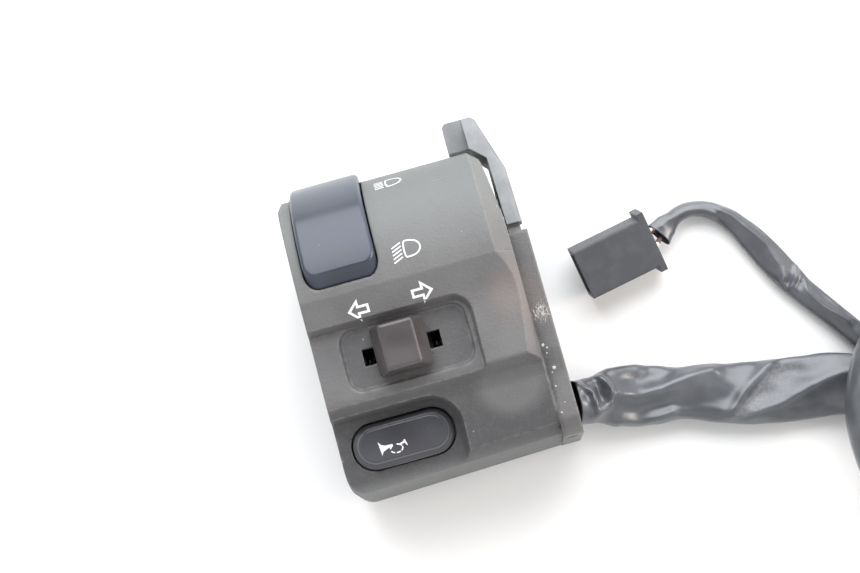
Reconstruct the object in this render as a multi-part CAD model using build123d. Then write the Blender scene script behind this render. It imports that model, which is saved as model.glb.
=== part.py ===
from build123d import *
import os
from math import asin, atan2, cos, degrees, radians, sin, sqrt, tan

# Left handlebar switch cluster, lying on its back as it was photographed.
# Millimetres. X runs along the handlebar towards its middle, Y is up on the
# motorcycle, Z points at the rider. The origin is the centre of the clamp
# bore, and the two halves of the housing part at z = 0.

# Handlebar and clamp bore
bar_diameter = 22.2
bar_radius = bar_diameter / 2
saddle_wall = 2.2
spigot_wall = 2.9

# Housing outline
left_reach = 28.5
right_reach = 28.0
dome_radius = 29.0
dome_centre_height = 4.0
crease_drop = 3.0
band_drop = 11.0
band_height = 29.4
rib_drop = 28.6
rib_height = 28.6
valley_drop = 31.2
valley_height = 24.0
skirt_drop = 47.2
skirt_height = 18.0
shoulder_drop = 49.7
shoulder_height = 12.5
hem_drop = 50.3
hem_lean_angle = 1.9
rear_depth = 22.0
rear_swell = 0.8
rear_corner_radius = 7.0
left_draft = 1.9
housing_wall = 2.3
corner_radius = 5.0
band_blend_radius = 15.0
rib_edge_radius = 1.1
valley_radius = 2.2
end_chamfer_run = 4.3
end_chamfer_fall = 3.9
outboard_chamfer_run = 2.3
outboard_chamfer_fall = 3.0
inboard_lean = 2.0
crease_bulge = 0.4
flank_run = 5.4
flank_fall = 5.0
flank_bulge = 0.9
overrun = 1.0
housing_reach = 90.0
middle_share = 0.5
horn_room_wall_share = 1.3

# Plateau and recess round the turn switch
plateau_height = 27.0
plateau_margin = 1.4
plateau_corner = 4.0
plateau_taper = 24.0
recess_left_reach = 14.5
recess_right_reach = 17.0
recess_top = 11.7
recess_bottom = 26.6
recess_depth = 0.9
recess_corner = 3.2
recess_taper = 35.0

# Horn pocket
pocket_margin = 1.0
pocket_top = 32.4
pocket_corner = 6.5
pocket_taper = 21.0
pocket_floor_height = 15.6
pocket_tilt = 14.4
pocket_fillet = 2.4
pocket_rise = 18.0

# Guard over the choke lever's ring, on the inboard side
guard_width = 5.2
guard_wall = 1.2
guard_height = 19.4
guard_top = 3.2
guard_drop = 50.0
guard_corner = 4.0
guard_edge = 1.0
guard_pocket_gap = 0.4
guard_bar_gap = 0.9
guard_floor_wall = 2.4
cable_hole_radius = 1.7
cable_hole_height = 8.0

# Choke lever
ring_gap = 0.05
ring_wall = 2.95
ring_side_gap = 0.1
washer_thickness = 0.5
lever_foot_rise = 5.6
lever_foot_height = 18.0
lever_knee_height = 11.6
lever_inset = 0.6
lever_edge = 1.5
tab_stand = 8.2
tab_gap = 1.9
tab_front = 4.0
tab_back = 3.4
tab_length = 8.6
tab_overhang = 0.2
tab_neck = 3.2
lever_lean_fall = 7.5
lever_inner_lean_fall = 3.2
tab_corner = 1.4
lever_back_angle = 45.0
bevel_angle = 45.0

# Dimmer rocker
rocker_pin_depth = 8.0
rocker_pin_angle = 50.0
rocker_stand = 2.5
rocker_end_radius = 18.8
rocker_inset = 5.2
rocker_right = 5.0
rocker_crown = 1.8
rocker_side = 1.6
rocker_skirt = 5.5
rocker_lobe_radius = 3.3
rocker_corner = 3.0
rocker_edge = 1.1
rocker_gap = 0.4
rocker_opening_depth = 5.0
dimmer_pin_radius = 1.2
dimmer_pin_gap = 0.05
dimmer_pin_seat = 0.8

# Dimmer base, detent and contacts
dimmer_base_floor = 8.8
dimmer_base_thickness = 2.0
dimmer_base_half_length = 14.0
dimmer_base_inset = 5.3
dimmer_base_reach = 1.6
dimmer_room_gap = 0.1
dimmer_ear_gap = 0.6
dimmer_ear_half_length = 3.2
dimmer_ear_rise = 2.6
detent_plunger_radius = 1.6
detent_tip = 4.8
detent_tube_wall = 1.0
detent_tube_end = 3.6
detent_bore_end = 8.0
detent_head_length = 5.4
detent_wire = 0.25
detent_turn_count = 3
blade_thickness = 0.5
blade_half_length = 5.5
blade_half_width = 2.0
blade_gap = 0.3
blade_swing = 5.0
blade_rest_gap = 0.1
blade_bead_radius = 0.6
dimmer_terminal_radius = 0.7
dimmer_terminal_stub = 1.4
dimmer_screw_spacing = 18.0
dimmer_screw_inset = 2.6

# Turn switch
turn_centre_inset = 23.7
turn_centre_drop = 18.9
turn_travel = 5.0
push_travel = 1.5
knob_base_length = 13.6
knob_base_width = 12.6
knob_top_length = 8.4
knob_top_width = 11.4
knob_top_height = 35.0
knob_bottom_gap = 1.9
knob_edge = 0.9
knob_band = 1.4
slot_width = 4.3
slot_gap = 0.35
stem_length = 9.2
stem_foot_length = 13.0
stem_foot_width = 8.0
stem_foot_thickness = 1.9
stem_foot_gap = 0.3
tenon_length = 6.6
tenon_width = 3.0
tenon_rise = 4.4
press_gap = 0.02
guide_pin_radius = 1.2
guide_pin_length = 4.9
carriage_length = 15.0
carriage_width = 11.0
carriage_height = 6.5
carriage_gap = 0.3
carriage_well_radius = 2.9
carriage_well_depth = 4.9
carriage_nick = 1.0
tray_floor = 1.8
tray_wall = 1.4
tray_half_length = 15.4
tray_gap = 0.3
tray_height = 8.6
tray_ear_length = 4.2
tray_ear_width = 6.0
tray_ear_thickness = 1.8
return_spring_radius = 1.9
return_wire = 0.5
return_turn_count = 5
return_spring_gap = 0.15
cancel_spring_radius = 2.3
cancel_turn_count = 4
turn_terminal_pitch = 7.0
turn_terminal_offset = 2.75
turn_terminal_radius = 0.8
turn_terminal_stub = 2.4

# Horn button
horn_centre_inset = 17.7
horn_centre_drop = 39.9
horn_length = 26.0
horn_width = 11.7
horn_stand = 2.7
horn_edge = 1.2
horn_corner_share = 0.47
horn_crown_radius = 21.0
horn_crown_length_radius = 60.0
horn_crown_turn = 40.0
horn_gap = 0.4
horn_travel = 1.8
horn_flange_width = 1.0
horn_flange_thickness = 0.8
horn_flange_gap = 0.2
horn_base_depth = 9.8
horn_base_floor = 1.6
horn_base_half_width = 6.6
horn_base_ear = 6.4
horn_stop_height = 2.6
horn_disc_radius = 4.6
horn_disc_thickness = 0.5
horn_spring_radius = 2.6
horn_wire = 0.55
horn_turn_count = 4
horn_contact_radius = 0.9
horn_contact_gap = 0.2
horn_contact_pitch = 7.4
horn_screw_inset = 2.6
horn_screw_pitch = 7.0

# Fasteners inside and through the housing
screw_radius = 2.4
screw_gap = 0.2
screw_bite = 0.04
screw_head_radius = 4.3
screw_head_height = 3.4
screw_head_gap = 0.5
screw_head_chamfer = 0.4
screw_sink = 7.0
screw_boss_wall = 2.1
screw_sink_wall = 1.3
screw_front_depth = 11.0
socket_radius = 1.7
socket_depth = 1.8
upper_screw_place = (12.0, 17.4)
lower_screw_place = (16.2, -30.6)
module_screw_radius = 1.1
module_screw_head_radius = 1.8
module_screw_head = 1.3
module_screw_length = 5.2
module_boss_radius = 2.3
module_hole_gap = 0.15
stiffener = 1.8
stiffener_place = 20.6

# Harness, its collar and the loom inside
exit_drop = 40.4
exit_depth = 10.5
exit_radius = 6.4
collar_gap = 0.1
collar_flange = 0.6
collar_bore_radius = 4.1
collar_lip = 0.8
collar_inner = 1.4
harness_diameter = 11.0
loom_radius = 2.4
loom_hole_radius = 4.2
loom_place = (-1.3, -19.4)
loom_top = 11.1
loom_turn_depth = 9.4
loom_turn_reach = 9.6
loom_end_gap = 1.6
tape_wall = 0.7
tape_length = 10.0
cord_run_share = 0.45

# Harness route over the floor, hand placed, in a loop that crosses itself;
# its first point is at the collar
harness_route_rest = [
    (46.5, -41.4, -12.6), (62.5, -45.4, -16.5), (79.0, -49.5, -16.1), (95.0, -52.0, -15.7),
    (111.5, -57.6, -15.7), (127.4, -72.0, -15.7), (133.7, -95.5, -16.1), (149.9, -111.5, -16.5),
    (172.3, -117.6, -16.5), (195.0, -112.2, -16.5), (212.0, -96.4, -16.5), (218.4, -74.4, -16.5),
    (212.5, -52.4, -16.5), (195.8, -36.3, -16.5), (155.1, -22.9, -16.0), (130.2, -29.5, -9.5),
    (111.8, -46.6, -2.8), (105.5, -69.5, -2.8), (112.5, -92.5, -9.5), (120.6, -113.6, -16.0),
    (135.9, -130.2, -16.5), (156.8, -137.2, -16.5),
]
tape_run_count = 5

# Clutch switch lead, from its own two pin connector to the taped joint
lead_diameter = 5.2
lead_route = [
    (69.3, -1.4, -17.0), (77.0, 1.6, -19.0), (84.6, 1.0, -19.4), (91.5, -3.2, -19.4),
    (96.1, -10.6, -19.4), (101.4, -22.2, -19.4), (107.6, -33.2, -19.4), (112.9, -41.8, -19.4),
    (117.6, -49.6, -19.3), (122.1, -57.9, -18.6),
]

# Two pin connector of the clutch lead, lying on the floor
clutch_plug_length = 19.6
clutch_plug_width = 14.2
clutch_plug_height = 8.8
clutch_plug_wall = 1.3
clutch_plug_depth = 13.0
clutch_plug_turn = 191.0
clutch_plug_roll = 20.0
clutch_plug_place = (64.8, -2.8)
clutch_flange_thickness = 2.0
clutch_flange_width = 17.2
clutch_pin_pitch = 5.0
clutch_pin_width = 2.2
clutch_pin_thickness = 0.7
clutch_pin_length = 6.5
clutch_wire_radius = 0.75
clutch_wire_spread = 1.05

# Main connector at the far end of the harness
main_plug_length = 27.0
main_plug_width = 22.0
main_plug_height = 11.0
main_plug_wall = 1.5
main_plug_depth = 16.0
main_plug_gap = 9.0
main_latch_length = 12.0
main_latch_width = 6.0
main_latch_height = 2.0
main_column_count = 4
main_row_count = 2
main_pitch = 4.6
main_pin_width = 1.8
main_pin_thickness = 0.7
main_pin_length = 9.0
main_wire_radius = 0.8
main_wire_share = 0.5

# Sizes that follow from the ones above
guard_reach = right_reach + guard_width
lever_reach = guard_reach - lever_inset
tab_underside_radius = dome_radius + tab_gap
tab_rise = tab_underside_radius + tab_stand
tab_left = right_reach - tab_length
tab_top_right = right_reach + tab_overhang
tab_inner_reach = right_reach - tab_neck
lever_lean_start = dome_radius - lever_lean_fall
lever_inner_lean_start = dome_radius - lever_inner_lean_fall
saddle_radius = bar_radius + saddle_wall
spigot_radius = bar_radius + spigot_wall
ring_inner = spigot_radius + ring_gap
ring_outer = ring_inner + ring_wall
guard_pocket_radius = ring_outer + guard_pocket_gap
guard_pocket_reach = guard_reach - guard_wall
spigot_reach = guard_pocket_reach - ring_side_gap
ring_low = right_reach + washer_thickness + ring_side_gap
ring_high = guard_pocket_reach - ring_side_gap
turn_centre_left = left_reach - turn_centre_inset
recess_left = turn_centre_left + recess_left_reach
recess_right = recess_right_reach - turn_centre_left
plateau_right = recess_right + plateau_margin
horn_centre_left = left_reach - horn_centre_inset
pocket_right = horn_length / 2 - horn_centre_left + pocket_margin
recess_floor_height = plateau_height - recess_depth
ceiling_height = recess_floor_height - housing_wall
stem_width = slot_width - 2 * slot_gap
slot_length = stem_length + 2 * (turn_travel + slot_gap)
knob_bottom_height = recess_floor_height + knob_bottom_gap
foot_top_height = ceiling_height - stem_foot_gap
foot_bottom_height = foot_top_height - stem_foot_thickness
carriage_top_height = foot_bottom_height - push_travel - carriage_gap
carriage_bottom_height = carriage_top_height - carriage_height
tray_bottom_height = carriage_bottom_height - carriage_gap - tray_floor
tray_top_height = tray_bottom_height + tray_height
tray_half_width = carriage_width / 2 + tray_gap + tray_wall
floor_height = -rear_depth
rocker_left = left_reach - rocker_inset
rocker_middle = (rocker_left + rocker_right) / 2
rocker_arm = dome_radius - rocker_pin_depth
rocker_pin_rise = rocker_arm * cos(radians(rocker_pin_angle))
rocker_pin_height = dome_centre_height + rocker_arm * sin(radians(rocker_pin_angle))
rocker_radius = dome_radius + rocker_stand
dimmer_base_left = left_reach - dimmer_base_inset
ring_middle = (ring_low + ring_high) / 2
blade_top_depth = detent_tip + blade_gap
blade_pivot_depth = blade_top_depth + blade_thickness
exit_place = (-exit_drop, -exit_depth)
harness_route = [(guard_reach + collar_lip, *exit_place)] + harness_route_rest
loom_route = [
    (*loom_place, loom_top), (*loom_place, -loom_turn_depth),
    (loom_turn_reach, *exit_place), (guard_pocket_reach - loom_end_gap, *exit_place),
]


def yz_block(outline, x_low, x_high):
    """Solid between two X stations, from an outline drawn in (y, z)."""
    return extrude(Plane.YZ.offset(x_low) * outline, amount=x_high - x_low, dir=(1, 0, 0))


def xz_block(outline, y_low, y_high):
    """Solid between two Y stations, from an outline drawn in (x, z)."""
    return extrude(Plane.XZ.offset(-y_low) * outline, amount=y_high - y_low, dir=(0, 1, 0))


def xy_block(outline, z_low, z_high):
    """Solid between two Z stations, from an outline drawn in (x, y)."""
    return extrude(Plane.XY.offset(z_low) * outline, amount=z_high - z_low, dir=(0, 0, 1))


def flat(points):
    """Flat face inside a closed run of straight lines."""
    return make_face(Polyline(*points, close=True).edges())


def rectangle(low, high, y_low, y_high):
    """Flat rectangle between its four sides."""
    return flat([(low, y_low), (high, y_low), (high, y_high), (low, y_high)])


def rounded(outline, *corners):
    """Round chosen corners of a flat outline, each given as (u, v, radius)."""
    for u, v, radius in corners:
        corner = outline.vertices().sort_by_distance((u, v))[0]
        outline = fillet(corner, radius)
    return outline


def disc(radius, y_centre=0.0, z_centre=0.0):
    """Circle drawn in (y, z)."""
    return Pos(y_centre, z_centre) * Circle(radius)


def between(low, high, y_low, y_high, z_low, z_high):
    """Plain block between its two corners."""
    return xy_block(rectangle(low, high, y_low, y_high), z_low, z_high)


def rod(radius, z_low, z_high, x_place=0.0, y_place=0.0):
    """Round rod along Z."""
    return xy_block(Pos(x_place, y_place) * Circle(radius), z_low, z_high)


def rod_between(start, end, radius):
    """Round rod from one point to another."""
    line = Vector(*end) - Vector(*start)
    return extrude(Plane(origin=start, z_dir=line) * Circle(radius), amount=line.length)


def bevel_bar(start, end, size):
    """Square bar, turned on edge, that bevels the straight edge between two points."""
    line = Vector(*end) - Vector(*start)
    plane = Plane(origin=Vector(*start) - line.normalized() * overrun, x_dir=(1, 0, 0), z_dir=line)
    bar = plane * Rot(0, 0, bevel_angle) * Rectangle(size, size)
    return extrude(bar, amount=line.length + 2 * overrun)


def coil(radius, wire, turns, height):
    """Compression spring along Z that stands on z = 0, wound from round wire."""
    rise = height - wire
    path = Helix(pitch=rise / turns, height=rise, radius=radius - wire / 2)
    section = Plane(origin=path @ 0, z_dir=path % 0) * Circle(wire / 2)
    return Pos(0, 0, wire / 2) * sweep(section, path=path, is_frenet=True)


def chord_height(radius, across):
    """Height of a circle's edge over its centre, at a place across it."""
    return sqrt(radius ** 2 - across ** 2)


# The housing's outer shape

def front_outline():
    """Side outline of the rider's half: dome, crease, band, rib, valley and skirt."""
    crease_height = dome_centre_height + chord_height(dome_radius, crease_drop)
    crease_angle = 90 + degrees(asin(crease_drop / dome_radius))
    crown = CenterArc((0, dome_centre_height), dome_radius, 0, crease_angle)
    skirt_slope = (valley_height - skirt_height) / (skirt_drop - valley_drop)
    skirt_end = skirt_height - skirt_slope * (hem_drop + corner_radius - skirt_drop)
    walls = Polyline(
        (-crease_drop, crease_height),
        (-band_drop, band_height),
        (-rib_drop, rib_height),
        (-valley_drop, valley_height),
        (-skirt_drop, skirt_height),
        (-hem_drop - corner_radius, skirt_end),
        (-hem_drop - corner_radius, 0),
        (dome_radius, 0),
        (dome_radius, dome_centre_height),
    )
    outline = make_face(crown.edges() + walls.edges())
    return rounded(
        outline,
        (-band_drop, band_height, band_blend_radius),
        (-rib_drop, rib_height, rib_edge_radius),
        (-valley_drop, valley_height, valley_radius),
    )


def front_skirt(inset):
    """Outline of the sloped bottom of the rider's half, open far above and behind it."""
    return flat([
        (housing_reach, 0), (housing_reach, housing_reach), (inset - skirt_drop, housing_reach),
        (inset - skirt_drop, skirt_height), (inset - shoulder_drop, shoulder_height), (inset - hem_drop, 0),
    ])


def rear_skirt(inset):
    """Outline of the bottom of the rear half, open far above it."""
    low = inset - hem_drop - rear_swell
    depth = rear_depth - inset
    return flat([(housing_reach, -depth), (low, -depth), (inset - hem_drop, 0), (housing_reach, 0)])


def leaning_block(outline):
    """Long solid along a line that leans up towards the inboard end, as the bottom wall does."""
    lean = radians(hem_lean_angle)
    start = Pos(-housing_reach, -housing_reach * tan(lean), 0) * (Plane.YZ * outline)
    return extrude(start, amount=2 * housing_reach / cos(lean), dir=(cos(lean), sin(lean), 0))


def front_view_outline():
    """Outline with the drafted outboard wall, drawn in (x, z)."""
    top = dome_centre_height + dome_radius + overrun
    lean = left_draft * top / plateau_height
    return flat([(-left_reach, 0), (right_reach, 0), (right_reach, top), (-left_reach + lean, top)])


def inboard_wedge():
    """Cutter that leans the inboard wall outboard towards the top of the dome, seen from the front."""
    slope = inboard_lean / (dome_radius - guard_top)
    rise = dome_radius - guard_top + overrun
    wedge = flat([
        (right_reach, guard_top), (right_reach + overrun, guard_top),
        (right_reach + overrun, guard_top + rise), (right_reach - slope * rise, guard_top + rise),
    ])
    return xy_block(wedge, -housing_reach, housing_reach)


def chamfer_profile(end, side, run, fall):
    """Section of the sloped band at one end of the dome, in (x, radius)."""
    low = end - side * run
    high = end + side * overrun
    outer = dome_radius + 2 * overrun
    drop = fall * (run + overrun) / run
    return flat([(low, dome_radius), (low, outer), (high, outer), (high, dome_radius - drop)])


def end_bands():
    """The sloped bands' sections, inboard and outboard."""
    return [
        chamfer_profile(right_reach, 1, end_chamfer_run, end_chamfer_fall),
        chamfer_profile(-left_reach, -1, outboard_chamfer_run, outboard_chamfer_fall),
    ]


def dome_chamfers():
    """Cutters of the sloped bands at the two ends of the rider's half."""
    outer = dome_radius + 3 * overrun
    top = dome_centre_height + outer
    keep = between(-housing_reach, housing_reach, -crease_drop, outer, dome_centre_height, top)
    cutters = []
    for band in end_bands():
        ring = Pos(0, 0, dome_centre_height) * revolve(band, axis=Axis.X)
        cutters.append((ring & keep) + xy_block(band, 0, dome_centre_height))
    return cutters


def rear_chamfers():
    """Cutters of the same bands on the rear half."""
    outer = dome_radius + 3 * overrun
    keep = between(-housing_reach, housing_reach, 0, outer, -outer, 0)
    return [revolve(band, axis=Axis.X) & keep for band in end_bands()]


def flank_section(drop, x_top, z_top, z_side, bulge):
    """Rounded corner that is cut from the rib's inboard edge at one Y station."""
    x_side = right_reach
    middle = ((x_top + x_side) / 2 + bulge, (z_top + z_side) / 2 + bulge)
    slope = ThreePointArc((x_top, z_top), middle, (x_side, z_side))
    lid = Polyline(
        (x_side, z_side), (x_side + overrun, z_side), (x_side + overrun, z_top + overrun),
        (x_top, z_top + overrun), (x_top, z_top),
    )
    return Plane.XZ.offset(drop) * make_face(slope.edges() + lid.edges())


def rib_flank():
    """Cutter of the rib's rounded inboard edge, from the crease to the valley."""
    crease_height = dome_centre_height + chord_height(dome_radius, crease_drop)
    start = flank_section(
        crease_drop, right_reach - end_chamfer_run, crease_height,
        crease_height - end_chamfer_fall, crease_bulge,
    )
    end = flank_section(
        valley_drop + overrun, right_reach - flank_run, rib_height,
        rib_height - flank_fall, flank_bulge,
    )
    return loft([start, end], ruled=True)


def pocket_plane():
    """Tilted plane of the horn pocket's floor, centred on the button."""
    tilt = radians(pocket_tilt)
    place = (-horn_centre_left, -horn_centre_drop, pocket_floor_height)
    return Plane(origin=place, x_dir=(1, 0, 0), z_dir=(0, -sin(tilt), cos(tilt)))


def horn_pocket():
    """Cutter of the sunken corner where the horn button sits."""
    plane = pocket_plane()
    right = pocket_right + horn_centre_left
    top = (horn_centre_drop - pocket_top) / cos(radians(pocket_tilt))
    left = -left_reach - housing_reach
    outline = rounded(rectangle(left, right, -housing_reach, top), (right, top, pocket_corner))
    block = extrude(plane * outline, amount=pocket_rise, taper=-pocket_taper)
    floor_edges = block.faces().sort_by(Axis(plane.origin, plane.z_dir))[0].edges()
    walls = [
        edge for edge in floor_edges
        if plane.to_local_coords(edge @ middle_share).X > left + overrun
        and plane.to_local_coords(edge @ middle_share).Y > -housing_reach + overrun
    ]
    return fillet(walls, pocket_fillet)


def plateau_cut():
    """Cutter of the lower step that carries the turn switch."""
    left = -left_reach - housing_reach
    outline = rectangle(left, plateau_right, -valley_drop - overrun, -band_drop)
    outline = rounded(outline, (plateau_right, -band_drop, plateau_corner))
    rise = dome_radius + dome_centre_height - plateau_height + overrun
    return extrude(Plane.XY.offset(plateau_height) * outline, amount=rise, taper=-plateau_taper)


def recess_cut():
    """Cutter of the shallow tray in the plateau, round the turn switch's slot."""
    length = recess_right + recess_left
    width = recess_bottom - recess_top
    centre = Pos((recess_right - recess_left) / 2, -(recess_bottom + recess_top) / 2)
    outline = centre * RectangleRounded(length, width, recess_corner)
    rise = recess_depth + overrun
    return extrude(Plane.XY.offset(recess_floor_height) * outline, amount=rise, taper=-recess_taper)


def round_outboard_corner(body):
    """Round the upright corner at the outboard bottom of either half."""
    corner = [
        edge for edge in body.edges()
        if abs((edge % middle_share).Z) > middle_share
        and edge.center().Y < -skirt_drop and edge.center().X < -pocket_right
    ]
    return fillet(corner, corner_radius)


def front_body():
    """Outer shape of the rider's half, before it is hollowed."""
    body = yz_block(front_outline(), -left_reach - overrun, right_reach)
    body &= xz_block(front_view_outline(), -hem_drop - corner_radius, dome_radius + overrun)
    body &= leaning_block(front_skirt(0))
    body = round_outboard_corner(body)
    body -= plateau_cut()
    body -= recess_cut()
    body -= horn_pocket()
    body -= rib_flank()
    for cutter in dome_chamfers():
        body -= cutter
    return body - inboard_wedge()


def rear_outline():
    """Side outline of the half that faces forwards, flat at the back."""
    flat_rise = chord_height(dome_radius, rear_depth)
    crown = CenterArc((0, 0), dome_radius, 0, -degrees(asin(rear_depth / dome_radius)))
    low = -hem_drop - corner_radius
    walls = Polyline((flat_rise, -rear_depth), (low, -rear_depth), (low, 0), (dome_radius, 0))
    return make_face(crown.edges() + walls.edges())


def lowest_back_edge(body):
    """The long edge between the bottom wall and the back, of the rear half or of its room."""
    along = [edge for edge in body.edges() if abs((edge % middle_share).X) > middle_share]
    back = ShapeList(along).group_by(Axis.Z)[0]
    return back.sort_by(Axis.Y)[0]


def rear_body():
    """Outer shape of the rear half, before it is hollowed."""
    body = yz_block(rear_outline(), -left_reach, right_reach) & leaning_block(rear_skirt(0))
    body = round_outboard_corner(body)
    body = fillet(lowest_back_edge(body), rear_corner_radius)
    for cutter in rear_chamfers():
        body -= cutter
    return body - inboard_wedge()


# Cavities, bosses and ribs inside the two halves

def front_cavity():
    """Room inside the rider's half, one wall under its skin."""
    inner = right_reach - housing_wall
    under = horn_room_wall_share * housing_wall
    low_right = pocket_right + 2 * under
    inner_radius = dome_radius - housing_wall
    crown = CenterArc((0, dome_centre_height), inner_radius, 0, 90)
    walls = Polyline(
        (0, dome_centre_height + inner_radius), (-crease_drop, dome_centre_height + inner_radius),
        (-band_drop, ceiling_height), (-rib_drop + housing_wall, ceiling_height),
        (-rib_drop + housing_wall, 0), (inner_radius, 0), (inner_radius, dome_centre_height),
    )
    upper = yz_block(make_face(crown.edges() + walls.edges()), -left_reach, inner)
    neck_top = pocket_floor_height - overrun
    neck = between(-left_reach, inner, -rib_drop, -rib_drop + 2 * housing_wall, 0, neck_top)
    inboard = yz_block(flat([
        (-rib_drop, 0), (-rib_drop, valley_height - housing_wall), (-valley_drop, valley_height - under),
        (-skirt_drop, skirt_height - under), (-hem_drop, 0),
    ]), low_right, inner)
    outboard = yz_block(flat([
        (-rib_drop, 0), (-rib_drop, valley_height),
        (-skirt_drop, valley_height), (-hem_drop, 0),
    ]), -left_reach, low_right + overrun)
    below_pocket = extrude(
        pocket_plane().offset(-housing_wall) * Rectangle(2 * housing_reach, 2 * housing_reach),
        amount=-housing_reach,
    )
    room = upper + neck + inboard + (outboard & below_pocket)
    wedge = Pos(housing_wall, 0, 0) * xz_block(front_view_outline(), -hem_drop, dome_radius)
    room &= wedge & leaning_block(front_skirt(housing_wall))
    return room - Pos(-housing_wall, 0, 0) * inboard_wedge()


def rear_cavity():
    """Room inside the rear half."""
    inner_radius = dome_radius - housing_wall
    depth = rear_depth - housing_wall
    crown = CenterArc((0, 0), inner_radius, 0, -degrees(asin(depth / inner_radius)))
    low = -hem_drop
    walls = Polyline(
        (chord_height(inner_radius, depth), -depth), (low, -depth), (low, 0), (inner_radius, 0),
    )
    outline = make_face(crown.edges() + walls.edges())
    room = yz_block(outline, -left_reach + housing_wall, right_reach - housing_wall)
    room -= Pos(-housing_wall, 0, 0) * inboard_wedge()
    room &= leaning_block(rear_skirt(housing_wall))
    return fillet(lowest_back_edge(room), rear_corner_radius - housing_wall)


def half_space(side):
    """Large block on the rider's side, 1, or the rear side, -1, of the parting plane."""
    reach = housing_reach
    return between(-reach, reach, -reach, reach, min(0, side * reach), max(0, side * reach))


def saddle(side):
    """Half tube that grips the handlebar, with the spigot and the seat of the choke ring."""
    tube = yz_block(disc(saddle_radius), -left_reach + left_draft, right_reach)
    tube += yz_block(disc(ring_outer), right_reach - inboard_lean - housing_wall, right_reach)
    tube += yz_block(disc(spigot_radius), right_reach - housing_wall, spigot_reach)
    return tube & half_space(side)


def stiffener_rib(side, body):
    """Cross wall from the saddle to the crown, near the inboard end."""
    low = stiffener_place - stiffener / 2
    wall = between(low, low + stiffener, -crease_drop, dome_radius, -housing_reach, housing_reach)
    return wall & body & half_space(side)


def bar_hole():
    """The handlebar's own room, right through the cluster."""
    return yz_block(disc(bar_radius), -left_reach - overrun, guard_reach + overrun)


def guard_half(outer_height):
    """One half of the guard, with the room for the ring and the wires cut out."""
    inward = -guard_corner if outer_height > 0 else guard_corner
    outline = flat([
        (guard_top, 0), (guard_top, outer_height), (-guard_drop + guard_corner, outer_height),
        (-guard_drop, outer_height + inward), (-guard_drop, 0),
    ])
    outline = rounded(
        outline,
        (guard_top, outer_height, guard_edge),
        (-guard_drop + guard_corner, outer_height, guard_corner / 2),
        (-guard_drop, outer_height + inward, guard_corner / 2),
    )
    wall = guard_floor_wall if outer_height > 0 else -guard_floor_wall
    room = rectangle(-guard_drop + guard_floor_wall, guard_top - guard_floor_wall, 0, outer_height - wall)
    half = yz_block(outline, right_reach, guard_reach)
    half -= yz_block(room, right_reach, guard_pocket_reach)
    half -= yz_block(disc(guard_pocket_radius), right_reach, guard_pocket_reach)
    return half - yz_block(disc(bar_radius + guard_bar_gap), right_reach, guard_reach + overrun)


def rocker_opening():
    """Cutter of the rocker's opening: a slice of the cylinder that its ends turn on."""
    radius = rocker_end_radius + rocker_gap
    pin = disc(radius, rocker_pin_rise, rocker_pin_height)
    swing = yz_block(pin, -rocker_left - rocker_gap, -rocker_right + rocker_gap)
    swing = fillet(swing.edges().filter_by(GeomType.CIRCLE), rocker_corner + rocker_gap)
    core = disc(dome_radius - rocker_opening_depth, 0, dome_centre_height)
    return swing - yz_block(core, -housing_reach, housing_reach)


def horn_outline(length, width):
    """Outline of the horn button: a rectangle with ends that are nearly half round."""
    return RectangleRounded(length, width, width * horn_corner_share)


def dimmer_plane():
    """Plane at the rocker's pin: its Z points out of the dome, its Y up round it."""
    out = Vector(0, rocker_pin_rise, rocker_pin_height - dome_centre_height).normalized()
    return Plane(origin=(-rocker_middle, rocker_pin_rise, rocker_pin_height), x_dir=(1, 0, 0), z_dir=out)


def dimmer_screw_places():
    """Places of the two dimmer screws on the dimmer plane."""
    across = dimmer_base_reach + rocker_middle - dimmer_screw_inset
    return [(across, -dimmer_screw_spacing / 2), (across, dimmer_screw_spacing / 2)]


def turn_screw_places():
    """Places of the two turn switch screws."""
    reach = tray_half_length + tray_ear_length / 2
    return [(-turn_centre_left - reach, -turn_centre_drop), (-turn_centre_left + reach, -turn_centre_drop)]


def horn_screw_places():
    """Places of the two horn screws on the pocket's plane."""
    across = horn_length / 2 + horn_base_ear - horn_screw_inset
    return [(across, -horn_screw_pitch / 2), (across, horn_screw_pitch / 2)]


def module_bosses():
    """Posts under the skin that the three switch bases are screwed to."""
    dimmer = dimmer_plane()
    posts = []
    for x_place, y_place in dimmer_screw_places():
        low = -dimmer_base_floor + dimmer_base_thickness
        posts.append(dimmer.location * rod(module_boss_radius, low, dome_radius, x_place, y_place))
    for x_place, y_place in turn_screw_places():
        posts.append(rod(module_boss_radius, tray_top_height, recess_floor_height, x_place, y_place))
    for x_place, y_place in horn_screw_places():
        low = -horn_base_depth + horn_base_floor
        posts.append(pocket_plane().location * rod(module_boss_radius, low, 0, x_place, y_place))
    return posts


def module_screw(under_head):
    """Small screw along Z, its head's seat at the given height, its point upwards."""
    head = rod(module_screw_head_radius, under_head - module_screw_head, under_head)
    return head + rod(module_screw_radius, under_head, under_head + module_screw_length)


def module_screws():
    """The six screws that hold the switch bases, as separate solids."""
    dimmer = dimmer_plane()
    screws = []
    for x_place, y_place in dimmer_screw_places():
        screws.append(dimmer.location * Pos(x_place, y_place) * module_screw(-dimmer_base_floor))
    for x_place, y_place in turn_screw_places():
        screws.append(Pos(x_place, y_place) * module_screw(tray_top_height - tray_ear_thickness))
    for x_place, y_place in horn_screw_places():
        screws.append(pocket_plane().location * Pos(x_place, y_place) * module_screw(-horn_base_depth))
    return screws


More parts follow.
